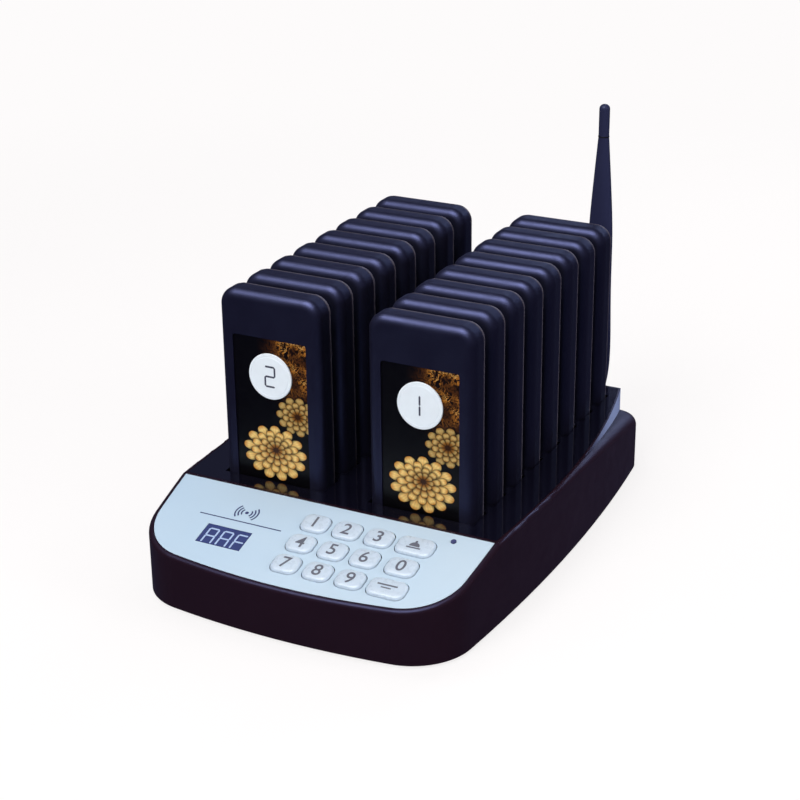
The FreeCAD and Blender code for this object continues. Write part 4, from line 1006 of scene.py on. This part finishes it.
class PAGERS_OT_stage(bpy.types.Operator):
    """Adds the pale floor, the soft lamps and the camera"""
    bl_idname = "pagers.stage"
    bl_label = "Stage"

    def execute(self, context):
        settings = context.scene.pager_stage
        self.floor(settings)
        self.world(context.scene, settings)
        for name, spot, size, power, unseen in LAMPS:
            setattr(self.lamp(name, spot, size, power), "visible_" + unseen, False)
        self.camera(context.scene, settings)
        return {"FINISHED"}

    def rays(self, graph):
        """Whether a ray comes from the camera, and whether from a mirror or through glass."""
        ray = graph.node("LightPath", {}).outputs
        return ray["Is Camera Ray"], graph.maths("MAXIMUM", ray["Is Glossy Ray"], ray["Is Transmission Ray"])

    def floor(self, settings):
        """A wide floor that keeps the object's shadow and fades into the backdrop further out."""
        bpy.ops.object.select_all(action="DESELECT")
        bpy.ops.mesh.primitive_plane_add(size=40)
        floor = named("floor")
        graph = Graph("pale floor")
        tone = linear(settings.floor)
        camera, mirror = self.rays(graph)
        mottled = graph.blend(graph.noise(0.4, 2), scaled(tone, 0.97), tone)
        graph.set(Base_Color=graph.blend(camera, (0.28, 0.28, 0.3, 1), mottled))
        graph.set(Roughness=0.7, Specular_IOR_Level=0.1)
        away = graph.node("VectorMath", {0: graph.place()}, operation="LENGTH").outputs["Value"]
        own_light = graph.range(away, 0.3, 0.9, settings.glow, 1.0, smooth=True)
        glow = graph.node("Emission", {"Color": tone, "Strength": 1.0}).outputs[0]
        factor = graph.maths("MULTIPLY", camera, own_light)
        plain = graph.node("MixShader", {0: factor, 1: graph.shader.outputs[0], 2: glow}).outputs[0]
        shine = graph.node("Emission", {"Color": linear(settings.mirror_tone),
                                        "Strength": settings.mirrored}).outputs[0]
        mixed = graph.node("MixShader", {0: mirror, 1: plain, 2: shine}).outputs[0]
        graph.tree.links.new(mixed, graph.tree.nodes["Material Output"].inputs["Surface"])
        dress(floor, graph.material)

    def world(self, scene, settings):
        """White to the camera and dim in reflections, save for a bright low band straight behind."""
        world = bpy.data.worlds.new("pale studio")
        scene.world = world
        graph = Graph("pale studio", world)
        camera, mirror = self.rays(graph)
        plain = graph.range(camera, 0, 1, settings.ambient, 1.0)
        towards = graph.node("SeparateXYZ", {0: graph.node("TexCoord", {}).outputs["Generated"]}).outputs
        faint, full, none = [0.03] * 3 + [1], [1] * 4, [0] * 3 + [1]
        height = graph.ramp(towards["Z"], (0.0, faint), (0.2, faint), (0.25, full), (0.34, full),
                            (0.38, none))
        behind = graph.range(towards["Y"], 0.86, 0.9, smooth=True)
        band = graph.maths("MULTIPLY", height, behind)
        tone = graph.blend(band, linear(settings.mirror_tone), linear(settings.horizon_tone))
        bright = graph.range(band, 0, 1, settings.mirrored, settings.horizon)
        background = graph.tree.nodes["Background"]
        graph.feed(background.inputs["Color"], graph.blend(mirror, linear(settings.floor), tone))
        graph.feed(background.inputs["Strength"], graph.range(mirror, 0, 1, plain, bright))

    def lamp(self, name, spot, size, power):
        """A soft box at a place, turned to the middle of the object."""
        low, high = CAD_BOX
        middle = (low + high) / 2
        bpy.ops.object.select_all(action="DESELECT")
        bpy.ops.object.light_add(type="AREA", location=spot)
        lamp = named(name)
        lamp.data.shape = "RECTANGLE"
        lamp.data.size, lamp.data.size_y = size
        lamp.data.energy = power
        lamp.rotation_euler = (Vector(spot) - middle).to_track_quat("Z", "Y").to_euler()
        return lamp

    def camera(self, scene, settings):
        """A camera at its place, turned round the object, tipped down and then rolled."""
        turn, tip, roll = settings.azimuth, settings.elevation, settings.roll
        back = Vector((math.sin(turn) * math.cos(tip), -math.cos(turn) * math.cos(tip), math.sin(tip)))
        right = Vector((math.cos(turn), math.sin(turn), 0))
        up = back.cross(right)
        rolled_right = math.cos(roll) * right + math.sin(roll) * up
        rolled_up = math.cos(roll) * up - math.sin(roll) * right
        data = bpy.data.cameras.new("camera")
        data.lens = settings.lens
        data.sensor_width = 36
        data.clip_start, data.clip_end = 0.05, 50
        camera = bpy.data.objects.new("camera", data)
        scene.collection.objects.link(camera)
        facing = Matrix((rolled_right, rolled_up, back)).transposed().to_4x4()
        camera.matrix_world = Matrix.Translation(settings.camera_place) @ facing
        scene.camera = camera
        scene.view_settings.view_transform = "Standard"


class PAGERS_PT_panel(bpy.types.Panel):
    bl_label = "Guest pager system"
    bl_idname = "PAGERS_PT_panel"
    bl_space_type = "VIEW_3D"
    bl_region_type = "UI"
    bl_category = "Pagers"

    def draw(self, context):
        for operator in OPERATORS:
            self.layout.operator(operator.bl_idname)
        for name in SETTINGS:
            group = getattr(context.scene, name)
            box = self.layout.box()
            for field in group.bl_rna.properties.keys():
                if field not in ("rna_type", "name"):
                    box.prop(group, field)


OPERATORS = [
    PAGERS_OT_base, PAGERS_OT_deck, PAGERS_OT_panel, PAGERS_OT_keys, PAGERS_OT_shells,
    PAGERS_OT_pictures, PAGERS_OT_discs, PAGERS_OT_antenna, PAGERS_OT_stage,
]
SETTINGS = {
    "pager_base": BaseSettings, "pager_panel": PanelSettings, "pager_keys": KeySettings,
    "pager_pagers": PagerSettings, "pager_antenna": AntennaSettings, "pager_stage": StageSettings,
}


def register():
    for settings in SETTINGS.values():
        bpy.utils.register_class(settings)
    for item in OPERATORS + [PAGERS_PT_panel]:
        bpy.utils.register_class(item)
    for name, settings in SETTINGS.items():
        setattr(bpy.types.Scene, name, bpy.props.PointerProperty(type=settings))


def unregister():
    for name in SETTINGS:
        delattr(bpy.types.Scene, name)
    for item in [PAGERS_PT_panel] + OPERATORS[::-1] + list(SETTINGS.values())[::-1]:
        bpy.utils.unregister_class(item)


def main():
    register()
    bpy.ops.pagers.base()
    bpy.ops.pagers.deck()
    bpy.ops.pagers.panel()
    bpy.ops.pagers.keys()
    bpy.ops.pagers.shells()
    bpy.ops.pagers.pictures()
    bpy.ops.pagers.discs()
    bpy.ops.pagers.antenna()
    bpy.ops.pagers.stage()


if __name__ == "__main__":
    main()
